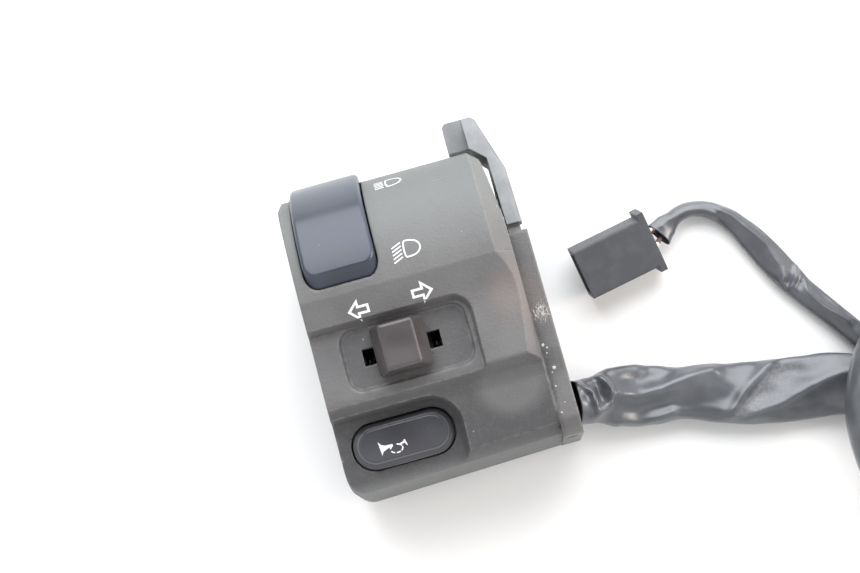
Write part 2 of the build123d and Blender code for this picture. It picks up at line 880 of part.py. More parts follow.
def module_screw_holes():
    """Cutters of the small screws' holes in posts and bases."""
    length = module_screw_length + module_hole_gap
    radius = module_screw_radius + screw_bite
    dimmer = dimmer_plane()
    holes = []
    for x_place, y_place in dimmer_screw_places():
        low = -dimmer_base_floor - overrun
        holes.append(dimmer.location * rod(radius, low, -dimmer_base_floor + length, x_place, y_place))
    for x_place, y_place in turn_screw_places():
        low = tray_top_height - tray_ear_thickness
        holes.append(rod(radius, low - overrun, low + length, x_place, y_place))
    for x_place, y_place in horn_screw_places():
        low = -horn_base_depth - overrun
        holes.append(pocket_plane().location * rod(radius, low, -horn_base_depth + length, x_place, y_place))
    return holes


def dimmer_room():
    """Space under the dimmer's pin that the saddle leaves to its base, terminals and screws."""
    below = dimmer_base_floor + dimmer_terminal_stub + dimmer_room_gap
    left = dimmer_base_left - rocker_middle + dimmer_room_gap
    right = dimmer_base_reach + rocker_middle + dimmer_room_gap
    half = dimmer_base_half_length + dimmer_room_gap
    return dimmer_plane().location * between(-left, right, -half, half, -below, 0)


def front_housing():
    """The rider's half: skin, guard, saddle, bosses and the three switch openings."""
    body = front_body()
    shell = body - front_cavity()
    shell += guard_half(guard_height)
    shell += stiffener_rib(1, body)
    for x_place, y_place in (upper_screw_place, lower_screw_place):
        shell += rod(screw_radius + screw_boss_wall, 0, dome_radius, x_place, y_place) & body
    for post in module_bosses():
        shell += post & body
    shell += saddle(1) - dimmer_room()
    shell -= rocker_opening()
    slot = Pos(-turn_centre_left, -turn_centre_drop) * Rectangle(slot_length, slot_width)
    shell -= xy_block(slot, ceiling_height - overrun, recess_floor_height + overrun)
    button = horn_outline(horn_length + 2 * horn_gap, horn_width + 2 * horn_gap)
    shell -= extrude(pocket_plane() * button, amount=housing_wall + overrun, both=True)
    for x_place, y_place in (upper_screw_place, lower_screw_place):
        shell -= rod(screw_radius + screw_bite, -overrun, screw_front_depth, x_place, y_place)
    for hole in module_screw_holes():
        shell -= hole
    cable = Pos(ring_middle, cable_hole_height) * Circle(cable_hole_radius)
    shell -= xz_block(cable, -guard_drop - overrun, -guard_drop + guard_floor_wall + overrun)
    return shell - bar_hole()


def rear_housing():
    """The half behind the handlebar: skin, guard, saddle, screw sinks and harness exit."""
    body = rear_body()
    shell = body - rear_cavity()
    shell += guard_half(-rear_depth)
    shell += stiffener_rib(-1, body)
    sink_radius = screw_head_radius + screw_head_gap
    for x_place, y_place in (upper_screw_place, lower_screw_place):
        shell += rod(sink_radius + screw_sink_wall, -rear_depth, 0, x_place, y_place) & body
    shell += saddle(-1)
    for x_place, y_place in (upper_screw_place, lower_screw_place):
        shell -= rod(screw_radius + screw_gap, -rear_depth, overrun, x_place, y_place)
        shell -= rod(sink_radius, -rear_depth - overrun, -rear_depth + screw_sink, x_place, y_place)
    exit_hole = disc(exit_radius, -exit_drop, -exit_depth)
    shell -= yz_block(exit_hole, guard_pocket_reach - overrun, guard_reach + overrun)
    loom_hole = disc(loom_hole_radius, -exit_drop, -exit_depth)
    shell -= yz_block(loom_hole, right_reach - housing_wall - overrun, right_reach + overrun)
    return shell - bar_hole()


def housing_screws():
    """Two socket head screws from the back, which close the clamp on the handlebar."""
    seat = -rear_depth + screw_sink
    screws = []
    for x_place, y_place in (upper_screw_place, lower_screw_place):
        head = rod(screw_head_radius, seat - screw_head_height, seat, x_place, y_place)
        rim = head.edges().group_by(Axis.Z)[0]
        screw = chamfer(rim, screw_head_chamfer)
        screw += rod(screw_radius, seat, screw_front_depth - overrun, x_place, y_place)
        socket = Pos(x_place, y_place) * RegularPolygon(socket_radius, 6)
        low = seat - screw_head_height
        screws.append(screw - xy_block(socket, low - overrun, low + socket_depth))
    return screws


# Choke lever

def choke_lever():
    """Ring round the handlebar with an arm whose top folds over the housing."""
    ring = yz_block(disc(ring_outer), ring_low, ring_high)
    arm = flat([
        (lever_foot_rise, lever_foot_height), (lever_lean_start, lever_knee_height), (tab_rise, tab_front),
        (tab_rise, -tab_back), (lever_lean_start, -tab_back - overrun),
        (ring_outer * cos(radians(lever_back_angle)), -ring_outer * sin(radians(lever_back_angle))),
        (lever_foot_rise, 0),
    ])
    tab = rectangle(lever_lean_start, tab_rise, -tab_back, tab_front) - disc(tab_underside_radius)
    side = yz_block(arm, tab_inner_reach, lever_reach) + yz_block(tab, tab_left, lever_reach)
    face = flat([
        (ring_low, -ring_outer), (lever_reach, -ring_outer), (lever_reach, lever_lean_start),
        (tab_top_right, tab_rise), (tab_left, tab_rise), (tab_left, tab_underside_radius - overrun),
        (tab_inner_reach, tab_underside_radius - overrun), (ring_low, lever_inner_lean_start),
    ])
    face = rounded(
        face,
        (tab_top_right, tab_rise, tab_corner),
        (tab_left, tab_rise, tab_corner),
        (tab_inner_reach, tab_underside_radius - overrun, tab_corner),
    )
    upper = side & xy_block(face, -dome_radius, dome_radius)
    foot = (lever_reach, lever_foot_rise, lever_foot_height)
    knee = (lever_reach, lever_lean_start, lever_knee_height)
    tip = (tab_top_right, tab_rise, tab_front)
    upper -= bevel_bar(foot, knee, lever_edge) + bevel_bar(knee, tip, lever_edge)
    return ring + upper - yz_block(disc(ring_inner), tab_left, lever_reach + overrun)


def choke_washer():
    """Thin friction washer between the housing and the ring."""
    washer = disc(ring_outer - overrun) - disc(ring_inner)
    return yz_block(washer, right_reach, right_reach + washer_thickness)


# Dimmer switch

def dimmer_rocker():
    """Hollow rocker cap whose ends are round about its own pins."""
    pin = (rocker_pin_rise, rocker_pin_height)
    swing = yz_block(disc(rocker_end_radius, *pin), -rocker_left, -rocker_right)
    swing = fillet(swing.edges().filter_by(GeomType.CIRCLE), rocker_corner)
    cap = swing & yz_block(disc(rocker_radius, 0, dome_centre_height), -rocker_left, -rocker_right)
    crown_edges = [edge for edge in cap.edges() if on_crown(edge)]
    cap = fillet(crown_edges, rocker_edge)
    core = disc(rocker_radius - rocker_skirt, 0, dome_centre_height)
    cap -= yz_block(core, -housing_reach, housing_reach)
    inner_low = -rocker_left + rocker_side
    inner_high = -rocker_right - rocker_side
    room = disc(rocker_radius - rocker_crown, 0, dome_centre_height)
    room &= disc(rocker_end_radius - rocker_side, *pin)
    cap -= yz_block(room, inner_low, inner_high)
    plane = dimmer_plane()
    web_top = rocker_radius - rocker_crown - rocker_arm
    lobe = flat([
        (-rocker_lobe_radius, 0), (rocker_lobe_radius, 0), (web_top, web_top), (-web_top, web_top),
    ])
    for low, high in ((-rocker_left, inner_low), (inner_high, -rocker_right)):
        boss = yz_block(disc(rocker_lobe_radius, *pin), low, high)
        web = Plane(origin=(low, *pin), x_dir=plane.y_dir, z_dir=(1, 0, 0)) * lobe
        cap += boss + extrude(web, amount=high - low, dir=(1, 0, 0))
    bore = detent_plunger_radius + dimmer_pin_gap
    cap += plane.location * rod(bore + detent_tube_wall, detent_tube_end, web_top)
    cap -= plane.location * rod(bore, detent_tube_end - overrun, detent_bore_end)
    hole = disc(dimmer_pin_radius + dimmer_pin_gap, *pin)
    for low, high in dimmer_pin_spans():
        cap -= yz_block(hole, low - dimmer_pin_gap, high + dimmer_pin_gap)
    return cap


def on_crown(edge):
    """True for an edge of the rocker's outer face."""
    place = edge @ middle_share
    reach = sqrt(place.Y ** 2 + (place.Z - dome_centre_height) ** 2)
    return abs(reach - rocker_radius) < press_gap


def dimmer_ear_spans():
    """X ranges of the two ears that carry the rocker, inside its side walls."""
    middle = detent_plunger_radius + dimmer_pin_gap + detent_tube_wall + blade_gap
    left = -rocker_left + rocker_side + dimmer_ear_gap
    right = -rocker_right - rocker_side - dimmer_ear_gap
    return [(left, -rocker_middle - middle), (-rocker_middle + middle, right)]


def dimmer_pin_spans():
    """X ranges of the two pivot pins."""
    left, right = dimmer_ear_spans()
    return [(-rocker_left + dimmer_pin_seat, left[1]), (right[0], -rocker_right - dimmer_pin_seat)]


def dimmer_pivot_pins():
    """Two short pins that the rocker turns on."""
    pin = disc(dimmer_pin_radius, rocker_pin_rise, rocker_pin_height)
    return [yz_block(pin, low, high) for low, high in dimmer_pin_spans()]


def dimmer_base():
    """Moulded base with two ears for the pins and a plate for the contacts."""
    plane = dimmer_plane()
    low = -dimmer_base_floor
    top = low + dimmer_base_thickness
    plate_low = -dimmer_base_left + rocker_middle
    plate_high = dimmer_base_reach + rocker_middle
    half = dimmer_base_half_length
    base = between(plate_low, plate_high, -half, half, low, top)
    for x_low, x_high in dimmer_ear_spans():
        x_low += rocker_middle
        x_high += rocker_middle
        base += between(x_low, x_high, -dimmer_ear_half_length, dimmer_ear_half_length, top, dimmer_ear_rise)
    for place in dimmer_terminal_places():
        base -= rod(dimmer_terminal_radius + press_gap, low - overrun, top + overrun, 0, place)
    base = plane.location * base
    pin = disc(dimmer_pin_radius + press_gap, rocker_pin_rise, rocker_pin_height)
    base -= yz_block(pin, -rocker_left, -rocker_right)
    for hole in module_screw_holes():
        base -= hole
    return base


def dimmer_terminal_places():
    """Places of the three terminals along the blade: end, fulcrum, end."""
    reach = blade_half_length - dimmer_terminal_radius
    return [-reach, 0, reach]


def dimmer_terminals():
    """Three riveted terminals: the middle one carries the blade, the outer two are touched by it."""
    plane = dimmer_plane()
    low = -dimmer_base_floor - dimmer_terminal_stub
    end_top = -blade_pivot_depth - blade_half_length * sin(radians(blade_swing)) - blade_rest_gap
    tops = [end_top, -blade_pivot_depth - blade_bead_radius - blade_rest_gap, end_top]
    places = zip(dimmer_terminal_places(), tops)
    return [plane.location * rod(dimmer_terminal_radius, low, top, 0, place) for place, top in places]


def dimmer_blade():
    """See-saw contact under the plunger, on the round bead that it rocks on."""
    half = blade_half_length
    wide = blade_half_width
    blade = between(-wide, wide, -half, half, -blade_pivot_depth, -blade_top_depth)
    blade += yz_block(disc(blade_bead_radius, 0, -blade_pivot_depth), -wide, wide)
    return dimmer_plane().location * blade


def detent_plunger():
    """Round nosed plunger that snaps the rocker over and presses the blade."""
    body = rod(detent_plunger_radius, -detent_tip, detent_head_length)
    nose = body.edges().group_by(Axis.Z)[0]
    body = fillet(nose, detent_plunger_radius / 2)
    return dimmer_plane().location * body


def detent_spring():
    """Short spring behind the plunger, in the rocker's tube."""
    height = detent_bore_end - detent_head_length
    spring = coil(detent_plunger_radius - dimmer_pin_gap, detent_wire, detent_turn_count, height)
    return dimmer_plane().location * Pos(0, 0, detent_head_length) * spring


# Turn switch

def turn_middle():
    """Carries a piece drawn about the turn switch's own centre to its place."""
    return Pos(-turn_centre_left, -turn_centre_drop)


def turn_knob():
    """Bevelled thumb knob, pressed on the stem's tenon."""
    band_top = knob_bottom_height + knob_band
    band = RectangleRounded(knob_base_length, knob_base_width, knob_edge)
    top = RectangleRounded(knob_top_length, knob_top_width, knob_edge)
    knob = xy_block(band, knob_bottom_height, band_top)
    knob += loft([Plane.XY.offset(band_top) * band, Plane.XY.offset(knob_top_height) * top], ruled=True)
    rim = knob.edges().group_by(Axis.Z)[-1]
    knob = fillet(rim, knob_edge)
    hole = Rectangle(tenon_length + 2 * press_gap, tenon_width + 2 * press_gap)
    knob -= xy_block(hole, knob_bottom_height - overrun, knob_bottom_height + tenon_rise + press_gap)
    return turn_middle() * knob


def turn_stem():
    """Stem through the slot, with the foot that keeps it in and the guide pin below."""
    tenon_top = knob_bottom_height + tenon_rise
    stem = xy_block(Rectangle(stem_length, stem_width), foot_bottom_height, knob_bottom_height)
    stem += xy_block(Rectangle(tenon_length, tenon_width), knob_bottom_height, tenon_top)
    stem += xy_block(Rectangle(stem_foot_length, stem_foot_width), foot_bottom_height, foot_top_height)
    stem += rod(guide_pin_radius, foot_bottom_height - guide_pin_length, foot_bottom_height)
    return turn_middle() * stem


def turn_carriage():
    """Block that slides from side to side, with the well of the cancel spring."""
    outline = RectangleRounded(carriage_length, carriage_width, knob_edge)
    block = xy_block(outline, carriage_bottom_height, carriage_top_height)
    well_bottom = carriage_top_height - carriage_well_depth
    block -= rod(carriage_well_radius, well_bottom, carriage_top_height + overrun)
    nick = Rectangle(2 * carriage_nick, 2 * return_spring_radius)
    nick_top = carriage_bottom_height + carriage_nick
    for side in (-1, 1):
        place = Pos(side * carriage_length / 2, 0)
        block -= xy_block(place * nick, carriage_bottom_height - overrun, nick_top)
    return turn_middle() * block


def turn_tray():
    """Open case that the carriage slides in, with an ear at each end."""
    outer = Rectangle(2 * tray_half_length, 2 * tray_half_width)
    room = Rectangle(2 * (tray_half_length - tray_wall), 2 * (tray_half_width - tray_wall))
    tray = xy_block(outer, tray_bottom_height, tray_top_height)
    tray -= xy_block(room, tray_bottom_height + tray_floor, tray_top_height + overrun)
    ears = Rectangle(2 * (tray_half_length + tray_ear_length), tray_ear_width)
    ears -= Rectangle(2 * tray_half_length - tray_wall, tray_ear_width)
    tray += xy_block(ears, tray_top_height - tray_ear_thickness, tray_top_height)
    hole_low = tray_bottom_height - overrun
    for place in turn_terminal_places():
        tray -= rod(turn_terminal_radius + press_gap, hole_low, tray_top_height, *place)
    tray = turn_middle() * tray
    for hole in module_screw_holes():
        tray -= hole
    return tray


def turn_terminal_places():
    """Places of the three terminals in the tray's floor."""
    across = -turn_terminal_offset
    return [(-turn_terminal_pitch, across), (0, across), (turn_terminal_pitch, across)]


def turn_terminals():
    """Three riveted terminals under the carriage."""
    low = tray_bottom_height - turn_terminal_stub
    top = tray_bottom_height + tray_floor
    return [turn_middle() * rod(turn_terminal_radius, low, top, *place) for place in turn_terminal_places()]


def return_springs():
    """Two springs that bring the carriage back to the middle."""
    room = tray_half_length - tray_wall - carriage_length / 2
    length = room - 2 * return_spring_gap
    height = carriage_bottom_height + carriage_height / 2
    springs = []
    for side in (-1, 1):
        turn = Rot(0, 90 * side, 0)
        start = Pos(side * (carriage_length / 2 + return_spring_gap), 0, height)
        spring = coil(return_spring_radius, return_wire, return_turn_count, length)
        springs.append(turn_middle() * start * turn * spring)
    return springs


def cancel_spring():
    """Spring in the carriage's well that lifts the knob after a push."""
    bottom = carriage_top_height - carriage_well_depth
    spring = coil(cancel_spring_radius, return_wire, cancel_turn_count, foot_bottom_height - bottom)
    return turn_middle() * Pos(0, 0, bottom) * spring


# Horn button

def horn_crown():
    """Barrel shaped room under the button's crown, curved across and along."""
    side = chord_height(horn_crown_radius, horn_width)
    top = (0, horn_stand)
    left = (-horn_width, horn_stand - horn_crown_radius + side)
    right = (horn_width, horn_stand - horn_crown_radius + side)
    arch = ThreePointArc(left, top, right)
    walls = Polyline(right, (horn_width, -horn_width), (-horn_width, -horn_width), left)
    axis = Axis((0, 0, horn_stand - horn_crown_length_radius), (0, 1, 0))
    section = Plane.YZ * make_face(arch.edges() + walls.edges())
    return revolve(section, axis=axis, revolution_arc=horn_crown_turn).rotate(axis, -horn_crown_turn / 2)


def horn_button():
    """Crowned button; a lip on its two inner sides keeps it in the housing."""
    lip_top = -housing_wall - horn_flange_gap
    lip_low = lip_top - horn_flange_thickness
    cap = extrude(horn_outline(horn_length, horn_width), amount=horn_stand) & horn_crown()
    rim = [edge for edge in cap.edges() if edge.center().Z > press_gap]
    cap = fillet(rim, horn_edge)
    cap += xy_block(horn_outline(horn_length, horn_width), lip_low, 0)
    lip = horn_outline(horn_length + horn_flange_width, horn_width + horn_flange_width)
    cap += xy_block(Pos(horn_flange_width / 2, horn_flange_width / 2) * lip, lip_low, lip_top)
    return pocket_plane().location * cap


def horn_disc():
    """Contact disc under the button."""
    top = -housing_wall - horn_flange_gap - horn_flange_thickness
    return pocket_plane().location * rod(horn_disc_radius, top - horn_disc_thickness, top)


def horn_base():
    """Plate screwed under the pocket, with the stop that ends the button's travel."""
    low = -horn_base_depth
    top = low + horn_base_floor
    half = horn_length / 2
    wide = horn_base_half_width
    base = between(-half, half + horn_base_ear, -wide, wide, low, top)
    for place in (-half, half - horn_base_floor):
        base += between(place, place + horn_base_floor, -wide, wide, top, top + horn_stop_height)
    for place in horn_contact_places():
        base -= rod(horn_contact_radius + press_gap, low - overrun, top + overrun, place)
    base = pocket_plane().location * base
    for hole in module_screw_holes():
        base -= hole
    return base


def horn_contact_places():
    """Places of the two contacts along the button."""
    return [-horn_contact_pitch / 2, horn_contact_pitch / 2]


def horn_contacts():
    """Two fixed contacts that the disc bridges at full travel."""
    disc_low = housing_wall + horn_flange_gap + horn_flange_thickness + horn_disc_thickness
    top = -disc_low - horn_travel - horn_contact_gap
    low = -horn_base_depth - dimmer_terminal_stub
    location = pocket_plane().location
    return [location * rod(horn_contact_radius, low, top, place) for place in horn_contact_places()]


def horn_spring():
    """Spring between the base and the contact disc."""
    bottom = -horn_base_depth + horn_base_floor
    top = -housing_wall - horn_flange_gap - horn_flange_thickness - horn_disc_thickness
    spring = coil(horn_spring_radius, horn_wire, horn_turn_count, top - bottom)
    return pocket_plane().location * Pos(0, 0, bottom) * spring


# Wires and cords

def cord_line(route, label):
    """Straight runs joined by tangent arcs that are as large as the runs allow."""
    points = [Vector(*point) for point in route]
    radii = []
    for before, here, after in zip(points, points[1:], points[2:]):
        turn = (here - before).get_angle(after - here)
        run = min((here - before).length, (after - here).length)
        radii.append(cord_run_share * run / tan(radians(turn / 2)))
    print(label, "bend radii", [round(radius, 1) for radius in radii])
    return FilletPolyline(*points, radius=radii)


def cord_tube(route, radius, label):
    """Round tube along a cord's line, with its volume checked against its length."""
    line = cord_line(route, label)
    section = Plane(origin=line @ 0, z_dir=line % 0) * Circle(radius)
    tube = sweep(section, path=line)
    expected = section.area * line.length
    print(label, "length", round(line.length, 1), "volume ratio", round(tube.volume / expected, 4))
    return tube


def harness_collar():
    """Rubber collar in the guard's wall that the harness leaves through."""
    low = guard_pocket_reach - collar_inner
    high = guard_reach + collar_lip
    flange = disc(exit_radius + collar_flange, *exit_place)
    collar = yz_block(flange, low, guard_pocket_reach - collar_gap)
    collar += yz_block(disc(exit_radius - collar_gap, *exit_place), low, high)
    collar += yz_block(disc(exit_radius + collar_lip, *exit_place), guard_reach + collar_gap, high)
    return collar - yz_block(disc(collar_bore_radius, *exit_place), low - overrun, high + overrun)


def joint_tape():
    """Turns of tape where the clutch switch lead leaves the harness."""
    start = Vector(*harness_route[tape_run_count])
    end = Vector(*harness_route[tape_run_count + 1])
    along = (end - start).normalized()
    origin = (start + end) / 2 - along * (tape_length / 2)
    inner = harness_diameter / 2 + press_gap
    ring = Plane(origin=origin, z_dir=along) * (Circle(inner + tape_wall) - Circle(inner))
    return extrude(ring, amount=tape_length)


def clutch_plug_frame():
    """Two pin connector's own frame: X towards its mouth, rolled over one edge of its flange."""
    roll = radians(clutch_plug_roll)
    rest = clutch_flange_width / 2 * sin(roll) + clutch_plug_height / 2 * cos(roll)
    place = Pos(*clutch_plug_place, floor_height + rest)
    return place * Rot(0, 0, clutch_plug_turn) * Rot(-clutch_plug_roll, 0, 0)


def clutch_plug():
    """Two pin connector body with the flange at its wire end and key ribs on its lid."""
    half = clutch_plug_width / 2
    tall = clutch_plug_height / 2
    wall = clutch_plug_wall
    body = between(0, clutch_plug_length, -half, half, -tall, tall)
    body = fillet(body.edges().filter_by(Axis.X), wall / 2)
    room_low = clutch_plug_length - clutch_plug_depth
    mouth = clutch_plug_length + overrun
    body -= between(room_low, mouth, -half + wall, half - wall, -tall + wall, tall - wall)
    flange_half = clutch_flange_width / 2
    body += between(-clutch_flange_thickness, 0, -flange_half, flange_half, -tall, tall)
    low = -clutch_flange_thickness - overrun
    slim = clutch_pin_width / 2
    flat_half = clutch_pin_thickness / 2
    for side in (-1, 1):
        centre = side * clutch_pin_pitch / 2
        body -= between(low, room_low + overrun, centre - slim, centre + slim, -flat_half, flat_half)
    return clutch_plug_frame() * body


def clutch_pins():
    """Two flat male terminals inside the connector's mouth."""
    low = -clutch_flange_thickness
    high = clutch_plug_length - clutch_plug_depth + clutch_pin_length
    pins = []
    for side in (-1, 1):
        centre = side * clutch_pin_pitch / 2
        slim = clutch_pin_width / 2 - press_gap
        flat_half = clutch_pin_thickness / 2 - press_gap
        blade = between(low, high, centre - slim, centre + slim, -flat_half, flat_half)
        pins.append(clutch_plug_frame() * blade)
    return pins


def clutch_wires():
    """The two wires that show between the connector and the end of the lead's sleeve."""
    frame = clutch_plug_frame()
    sleeve_end = Vector(*lead_route[0])
    wires = []
    for side in (-1, 1):
        socket = frame * Pos(-clutch_flange_thickness, side * clutch_pin_pitch / 2, 0)
        end = sleeve_end - Vector(0, side * clutch_wire_spread, 0)
        wires.append(rod_between(tuple(socket.position), tuple(end), clutch_wire_radius))
    return wires


def main_plug_frame():
    """Main connector's own frame, in line with the harness's last run."""
    start = Vector(*harness_route[-2])
    end = Vector(*harness_route[-1])
    along = (end - start).normalized()
    place = end + along * main_plug_gap
    turn = degrees(atan2(along.Y, along.X))
    return Pos(place.X, place.Y, floor_height + main_plug_height / 2) * Rot(0, 0, turn)


def main_cells():
    """Places of the main connector's ways, as (across, up)."""
    cells = []
    for column in range(main_column_count):
        for row in range(main_row_count):
            across = (column - (main_column_count - 1) / 2) * main_pitch
            cells.append((across, (row - (main_row_count - 1) / 2) * main_pitch))
    return cells


def main_plug():
    """Main connector body with its mouth, latch and the holes of its terminals."""
    half = main_plug_width / 2
    tall = main_plug_height / 2
    wall = main_plug_wall
    body = between(0, main_plug_length, -half, half, -tall, tall)
    body = fillet(body.edges().filter_by(Axis.X), wall / 2)
    room_low = main_plug_length - main_plug_depth
    mouth = main_plug_length + overrun
    body -= between(room_low, mouth, -half + wall, half - wall, -tall + wall, tall - wall)
    latch = between(
        main_plug_length - main_latch_length - wall, main_plug_length - wall,
        -main_latch_width / 2, main_latch_width / 2, tall - press_gap, tall + main_latch_height,
    )
    body += latch
    for across, up in main_cells():
        body -= between(
            -overrun, room_low + overrun, across - main_pin_width / 2, across + main_pin_width / 2,
            up - main_pin_thickness / 2, up + main_pin_thickness / 2,
        )
    return main_plug_frame() * body


def main_pins():
    """Flat terminals of the main connector."""
    high = main_plug_length - main_plug_depth + main_pin_length
    slim = main_pin_width / 2 - press_gap
    flat_half = main_pin_thickness / 2 - press_gap
    pins = []
    for across, up in main_cells():
        blade = between(0, high, across - slim, across + slim, up - flat_half, up + flat_half)
        pins.append(main_plug_frame() * blade)
    return pins


def main_wires():
    """Wires from the end of the harness sleeve to the main connector."""
    frame = main_plug_frame()
    wires = []
    for across, up in main_cells():
        start = frame * Pos(-main_plug_gap, across * main_wire_share, up * main_wire_share)
        end = frame * Pos(0, across, up)
        wires.append(rod_between(tuple(start.position), tuple(end.position), main_wire_radius))
    return wires


def write(name, shape):
    """Write one node's STEP file; a list becomes separate solids in one node."""
    if isinstance(shape, list):
        shape = Compound(children=[solid for piece in shape for solid in piece.solids()])
    solids = shape.solids()
    if len(solids) == 1:
        shape = solids[0]
    export_step(shape, os.path.join("parts", name + ".step"))


os.makedirs("parts", exist_ok=True)

write("front_housing", front_housing())
write("rear_housing", rear_housing())
write("housing_screws", housing_screws())
write("module_screws", module_screws())

write("choke_lever", choke_lever())
write("choke_washer", choke_washer())

write("dimmer_rocker", dimmer_rocker())
write("dimmer_pivot_pins", dimmer_pivot_pins())
write("dimmer_base", dimmer_base())
write("dimmer_terminals", dimmer_terminals())
write("dimmer_blade", dimmer_blade())
write("detent_plunger", detent_plunger())
write("detent_spring", detent_spring())

write("turn_knob", turn_knob())
write("turn_stem", turn_stem())
write("turn_carriage", turn_carriage())
write("turn_tray", turn_tray())
write("turn_terminals", turn_terminals())
write("return_springs", return_springs())
write("cancel_spring", cancel_spring())

write("horn_button", horn_button())
write("horn_disc", horn_disc())
write("horn_base", horn_base())
write("horn_contacts", horn_contacts())
write("horn_spring", horn_spring())

write("inner_loom", cord_tube(loom_route, loom_radius, "inner loom"))
write("harness_collar", harness_collar())
write("harness_sleeve", cord_tube(harness_route, harness_diameter / 2, "harness"))
write("joint_tape", joint_tape())
write("clutch_lead", cord_tube(lead_route, lead_diameter / 2, "clutch lead"))
write("clutch_wires", clutch_wires())
write("clutch_plug", clutch_plug())
write("clutch_pins", clutch_pins())
write("main_wires", main_wires())
write("main_plug", main_plug())
write("main_pins", main_pins())
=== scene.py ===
# %% [markdown]
# # A handlebar switch cluster
# The CAD parts come in by themselves. This lesson gives them their finishes,
# and adds what CAD leaves plain: the printed symbols and the soft wiring.

# %% Load the CAD frame
import math
import bpy
import bmesh
from bisect import bisect_right
from mathutils import Matrix, Vector, noise
from mathutils.bvhtree import BVHTree


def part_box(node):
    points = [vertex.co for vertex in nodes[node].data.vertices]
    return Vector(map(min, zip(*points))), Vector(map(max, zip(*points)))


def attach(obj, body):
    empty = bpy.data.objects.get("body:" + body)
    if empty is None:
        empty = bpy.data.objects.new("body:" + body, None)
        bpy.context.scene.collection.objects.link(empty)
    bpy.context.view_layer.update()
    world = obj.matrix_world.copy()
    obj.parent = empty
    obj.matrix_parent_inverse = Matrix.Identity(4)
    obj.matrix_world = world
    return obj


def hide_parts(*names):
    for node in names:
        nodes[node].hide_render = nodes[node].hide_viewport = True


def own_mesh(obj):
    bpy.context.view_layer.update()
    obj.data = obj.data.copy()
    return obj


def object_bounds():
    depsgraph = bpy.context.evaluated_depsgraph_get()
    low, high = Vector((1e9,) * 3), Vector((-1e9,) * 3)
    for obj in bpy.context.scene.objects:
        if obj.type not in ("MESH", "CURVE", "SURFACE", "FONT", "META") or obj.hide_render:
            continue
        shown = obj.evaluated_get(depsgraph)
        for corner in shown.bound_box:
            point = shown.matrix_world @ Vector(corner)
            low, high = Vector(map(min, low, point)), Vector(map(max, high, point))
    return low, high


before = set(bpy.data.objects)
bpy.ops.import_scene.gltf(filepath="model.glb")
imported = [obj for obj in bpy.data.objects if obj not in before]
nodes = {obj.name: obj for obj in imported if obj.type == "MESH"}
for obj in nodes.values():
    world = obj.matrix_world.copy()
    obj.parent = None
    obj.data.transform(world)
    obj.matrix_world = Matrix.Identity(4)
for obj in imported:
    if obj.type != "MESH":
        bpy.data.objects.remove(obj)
cad_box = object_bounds()
mm = 0.001
print("CAD nodes", len(nodes))

# %% [markdown]
# ## Camera
# The photograph looks almost straight down on the switches, and the cluster is
# turned a little in it, which the roll gives. A camera could be dragged about
# until it fits. Here two small tilts and a reach place it, because then its
# angle can be read from the numbers, and mended in one place.

# %% Camera
lean_right, lean_down, roll = math.radians(1.0), math.radians(9.7), math.radians(15.2)
aim = Vector((5.5, -3.2, 10.0)) * mm
reach = 0.430
picture_width = 860
focal_pixels = 1665
sensor_width = 36.0
towards = Vector((math.sin(lean_right), -math.sin(lean_down), 0))
towards.z = math.sqrt(1 - towards.length_squared)
level = Vector((0, 1, 0)).cross(towards).normalized()
upright = towards.cross(level)
right = math.cos(roll) * level - math.sin(roll) * upright
up = math.sin(roll) * level + math.cos(roll) * upright

lens = bpy.data.cameras.new("photo_view")
lens.sensor_width = sensor_width
lens.lens = sensor_width * focal_pixels / picture_width
lens.clip_start = 0.01
lens.clip_end = 10.0
camera = bpy.data.objects.new("photo_view", lens)
bpy.context.collection.objects.link(camera)
turn = Matrix((right, up, towards)).transposed().to_4x4()
camera.matrix_world = Matrix.Translation(aim + towards * reach) @ turn
bpy.context.scene.camera = camera
print("camera stands at", [round(v, 3) for v in camera.matrix_world.translation])

# %% [markdown]
# ## Writing shader maths as Python
# A finish is a sum of masks and noises. Wiring each sum node by node hides the
# thought behind it, so a small class holds one output socket, and Python's own
# signs add the maths nodes. Any other node comes from its one method, node.

